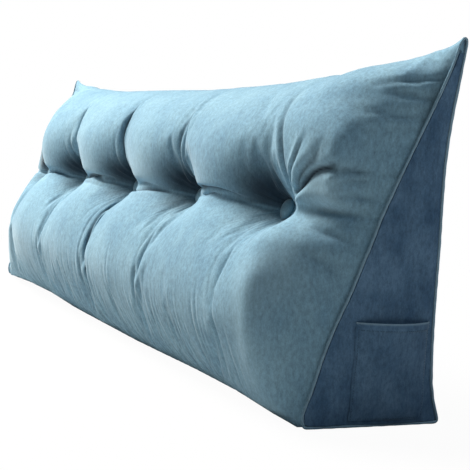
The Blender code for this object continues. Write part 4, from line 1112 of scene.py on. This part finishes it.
# Patch pocket: a hemmed patch of the panel's cloth, sewn to the panel at its sides and foot. Its
# mouth has a turned hem 11 mm deep and stands a little open.
POCKET_FRONT_Y = -0.036
POCKET_BACK_Y = 0.067
POCKET_FOOT_Z = 0.0105
POCKET_TOP_Z = 0.137
POCKET_HEM = 0.011
POCKET_THICK = 0.0016
POCKET_HEM_THICK = 0.0028
POCKET_MOUTH = 0.0125
POCKET_OFF = 0.0004
POCKET_SIDE = 0.0007
POCKET_RIM = 0.0012
POCKET_PAINTED_HIGHLIGHT = 0.55
POCKET_SHEEN, POCKET_PATCHES = 0.30, 16.0


def pocket_surface(y, z):
    """The inner face of the pocket: closed at its sides and foot, open at its mouth."""
    across = np.clip((y - POCKET_FRONT_Y) / (POCKET_BACK_Y - POCKET_FRONT_Y), 0.0, 1.0)
    up = np.clip((z - POCKET_FOOT_Z) / (POCKET_TOP_Z - POCKET_FOOT_Z), 0.0, 1.0)
    stand = POCKET_MOUTH * np.sin(math.pi * across) ** 0.8 * np.sin(0.5 * math.pi * up) ** 0.6
    fold = 0.0006 * np.sin(95.0 * y + 30.0 * z) * np.sin(math.pi * across) * np.sin(math.pi * up)
    return end_surface(y, z, 1) + POCKET_OFF + stand + fold + np.abs(panel_slack(y, z, 1))


hem_foot = POCKET_TOP_Z - POCKET_HEM
heights = np.concatenate((np.linspace(POCKET_FOOT_Z, hem_foot, 60), hem_foot + np.array((0.0004, 0.0010)),
                          np.linspace(hem_foot + 0.003, POCKET_TOP_Z - 0.0012, 7),
                          (POCKET_TOP_Z - 0.0004, POCKET_TOP_Z)))
z, y = np.meshgrid(heights, np.linspace(POCKET_FRONT_Y, POCKET_BACK_Y, 56), indexing="ij")


def pocket_thickness(y, z):
    """The cloth's thickness: double in the hem, pressed thin at the sides and the hem's rim."""
    thick = POCKET_THICK + (POCKET_HEM_THICK - POCKET_THICK) * step(z, hem_foot, 0.001)
    thick = thick - 0.0008 * step(z, POCKET_TOP_Z - POCKET_RIM, POCKET_RIM)
    from_side = np.minimum(y - POCKET_FRONT_Y, POCKET_BACK_Y - y)
    return thick - POCKET_SIDE * (1.0 - smooth(from_side / 0.004))


inner = pocket_surface(y, z)
outer = inner + pocket_thickness(y, z)
inner += 0.0004 * step(z, POCKET_TOP_Z - POCKET_RIM, POCKET_RIM)
pocket = cloth_sheet("patch_pocket", np.stack((inner, y, z), axis=2), np.stack((outer, y, z), axis=2))
# A painted highlight along the rim of the hem.
lightened = POCKET_PAINTED_HIGHLIGHT * hump(z, POCKET_TOP_Z, 0.0016)
lightened_layer = pocket.data.attributes.new("wear_and_painted_light", "FLOAT", "POINT")
lightened_layer.data.foreach_set("value", np.tile(lightened.ravel(), 2).astype(np.float32))
pocket_material = plush_material("pocket_plush", PANEL_SHADED_PILE, PANEL_SHADED_BRUSHED, POCKET_SHEEN, POCKET_PATCHES)
pocket.data.materials.append(pocket_material)
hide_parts("pocket_right")
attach(pocket, "root")

# Pocket stitches: matching thread, one row that holds the hem down and one that runs down, along
# and up just inside the pocket's edge and sews it to the panel.
STITCH_PITCH = 0.0034
STITCH_LENGTH = 0.0025
STITCH_THICK = 0.0007
STITCH_INSET = 0.0024
STITCH_UP = 0.0016
THREAD_DARK = (0.030, 0.066, 0.110, 1.0)
THREAD_LIGHT = (0.060, 0.115, 0.170, 1.0)
THREAD_SHEEN, THREAD_PATCHES = 0.10, 60.0


def stitch_tree(material):
    """Geometry Nodes tree that lays one small round-ended stitch at each pitch along a line."""
    tree = bpy.data.node_groups.new("sewn_line", "GeometryNodeTree")
    socket = tree.interface.new_socket
    socket("Geometry", in_out="INPUT", socket_type="NodeSocketGeometry")
    sizes = {name: socket(name, in_out="INPUT", socket_type="NodeSocketFloat").identifier
             for name in ("Pitch", "Length", "Thickness")}
    socket("Geometry", in_out="OUTPUT", socket_type="NodeSocketGeometry")
    given = node(tree, "NodeGroupInput").outputs
    line = node(tree, "GeometryNodeMeshToCurve", {"Mesh": given["Geometry"]})
    spaced = node(tree, "GeometryNodeCurveToPoints",
                  {"Curve": line.outputs["Curve"], "Length": given["Pitch"]}, mode="LENGTH")
    bead = node(tree, "GeometryNodeMeshUVSphere", {"Segments": 6, "Rings": 5, "Radius": 0.5})
    size = node(tree, "ShaderNodeCombineXYZ",
                {"X": given["Thickness"], "Y": given["Thickness"], "Z": given["Length"]})
    laid = node(tree, "GeometryNodeInstanceOnPoints",
                {"Points": spaced.outputs["Points"], "Instance": bead.outputs["Mesh"],
                 "Rotation": spaced.outputs["Rotation"], "Scale": size.outputs["Vector"]})
    real = node(tree, "GeometryNodeRealizeInstances", {"Geometry": laid.outputs["Instances"]})
    cover = node(tree, "GeometryNodeSetMaterial",
                 {"Geometry": real.outputs["Geometry"], "Material": material})
    node(tree, "NodeGroupOutput", {"Geometry": cover.outputs["Geometry"]})
    return tree, sizes


def on_pocket(y, z):
    """Points on the outer face of the pocket."""
    return np.stack((pocket_surface(y, z) + pocket_thickness(y, z), y, z), axis=1)


left, right = POCKET_FRONT_Y + STITCH_INSET, POCKET_BACK_Y - STITCH_INSET
foot, top = POCKET_FOOT_Z + STITCH_INSET, POCKET_TOP_Z - 0.002
down, along = np.linspace(top, foot, 60), np.linspace(left, right, 50)[1:-1]
round_edge = np.concatenate((on_pocket(0.0 * down + left, down), on_pocket(along, 0.0 * along + foot),
                             on_pocket(0.0 * down + right, down[::-1])))
hem_row = on_pocket(along, 0.0 * along + hem_foot + STITCH_UP)
verts = np.vstack((round_edge, hem_row)).tolist()
edges = [(k, k + 1) for k in range(len(verts) - 1) if k != len(round_edge) - 1]
mesh = bpy.data.meshes.new("stitch_lines")
mesh.from_pydata(verts, edges, [])
lines = placed("stitch_lines", mesh)
thread = plush_material("sewing_thread", THREAD_DARK, THREAD_LIGHT, THREAD_SHEEN, THREAD_PATCHES)
tree, sizes = stitch_tree(thread)
sewn = lines.modifiers.new("sewn", "NODES")
sewn.node_group = tree
for name, value in (("Pitch", STITCH_PITCH), ("Length", STITCH_LENGTH), ("Thickness", STITCH_THICK)):
    sewn[sizes[name]] = value
sewn_mesh = bpy.data.meshes.new_from_object(lines.evaluated_get(bpy.context.evaluated_depsgraph_get()))
bpy.data.objects.remove(lines)
sewn_mesh.name = "pocket_stitches"
sewn_mesh.shade_smooth()
stitches = placed("pocket_stitches", sewn_mesh)
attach(stitches, "root")

# Covered buttons: a domed shell in the cushion's cloth, gathered behind its rim, tied down into
# each tuft's well.
BUTTON_RADIUS = 0.0148
BUTTON_DOME = 0.0062
BUTTON_GAP = 0.0003
BUTTON_SEGMENTS = 64
BUTTON_PROFILE = ((0.0, 1.0), (0.20, 0.985), (0.40, 0.93), (0.58, 0.84), (0.74, 0.70), (0.86, 0.54),
                  (0.94, 0.38), (0.985, 0.22), (1.0, 0.10), (0.985, 0.03), (0.93, 0.0), (0.60, 0.0))
# The button's cloth is painted darker than the cushion's: painted shade in the wells.
BUTTON_SHADED_PILE = (0.095, 0.185, 0.250, 1.0)
BUTTON_SHADED_BRUSHED = (0.160, 0.285, 0.360, 1.0)
BUTTON_SHEEN = 0.35

button_material = plush_material("button_plush", BUTTON_SHADED_PILE, BUTTON_SHADED_BRUSHED, BUTTON_SHEEN)
for index in range(TUFTS):
    verts, faces = [(0.0, 0.0, BUTTON_DOME + BUTTON_GAP)], []
    for share, height in BUTTON_PROFILE[1:]:
        for k in range(BUTTON_SEGMENTS):
            angle = 2 * math.pi * k / BUTTON_SEGMENTS
            gather = 1.0 + 0.012 * math.sin(angle * 13 + index) * smooth((share - 0.7) / 0.3)
            reach = BUTTON_RADIUS * share * min(gather, 1.0)
            verts.append((reach * math.cos(angle), reach * math.sin(angle),
                          BUTTON_DOME * height + BUTTON_GAP))
    verts.append((0.0, 0.0, BUTTON_GAP))
    last = len(verts) - 1
    for k in range(BUTTON_SEGMENTS):
        n = (k + 1) % BUTTON_SEGMENTS
        faces.append((0, 1 + k, 1 + n))
        for level in range(len(BUTTON_PROFILE) - 2):
            a, b = 1 + level * BUTTON_SEGMENTS, 1 + (level + 1) * BUTTON_SEGMENTS
            faces.append((a + k, b + k, b + n, a + n))
        a = 1 + (len(BUTTON_PROFILE) - 2) * BUTTON_SEGMENTS
        faces.append((a + k, last, a + n))
    mesh = bpy.data.meshes.new("tuft_button_%d" % (index + 1))
    mesh.from_pydata(verts, [], faces)
    tilt = Matrix.Rotation(math.radians(90.0) - FACE_TILT, 4, "X")
    mesh.transform(Matrix.Translation((tuft_x(index), TUFT_SEAT_Y, TUFT_SEAT_Z)) @ tilt)
    mesh.shade_smooth()
    mesh.materials.append(button_material)
    button = placed(mesh.name, mesh)
    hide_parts("button_%d" % (index + 1))
    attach(button, "root")
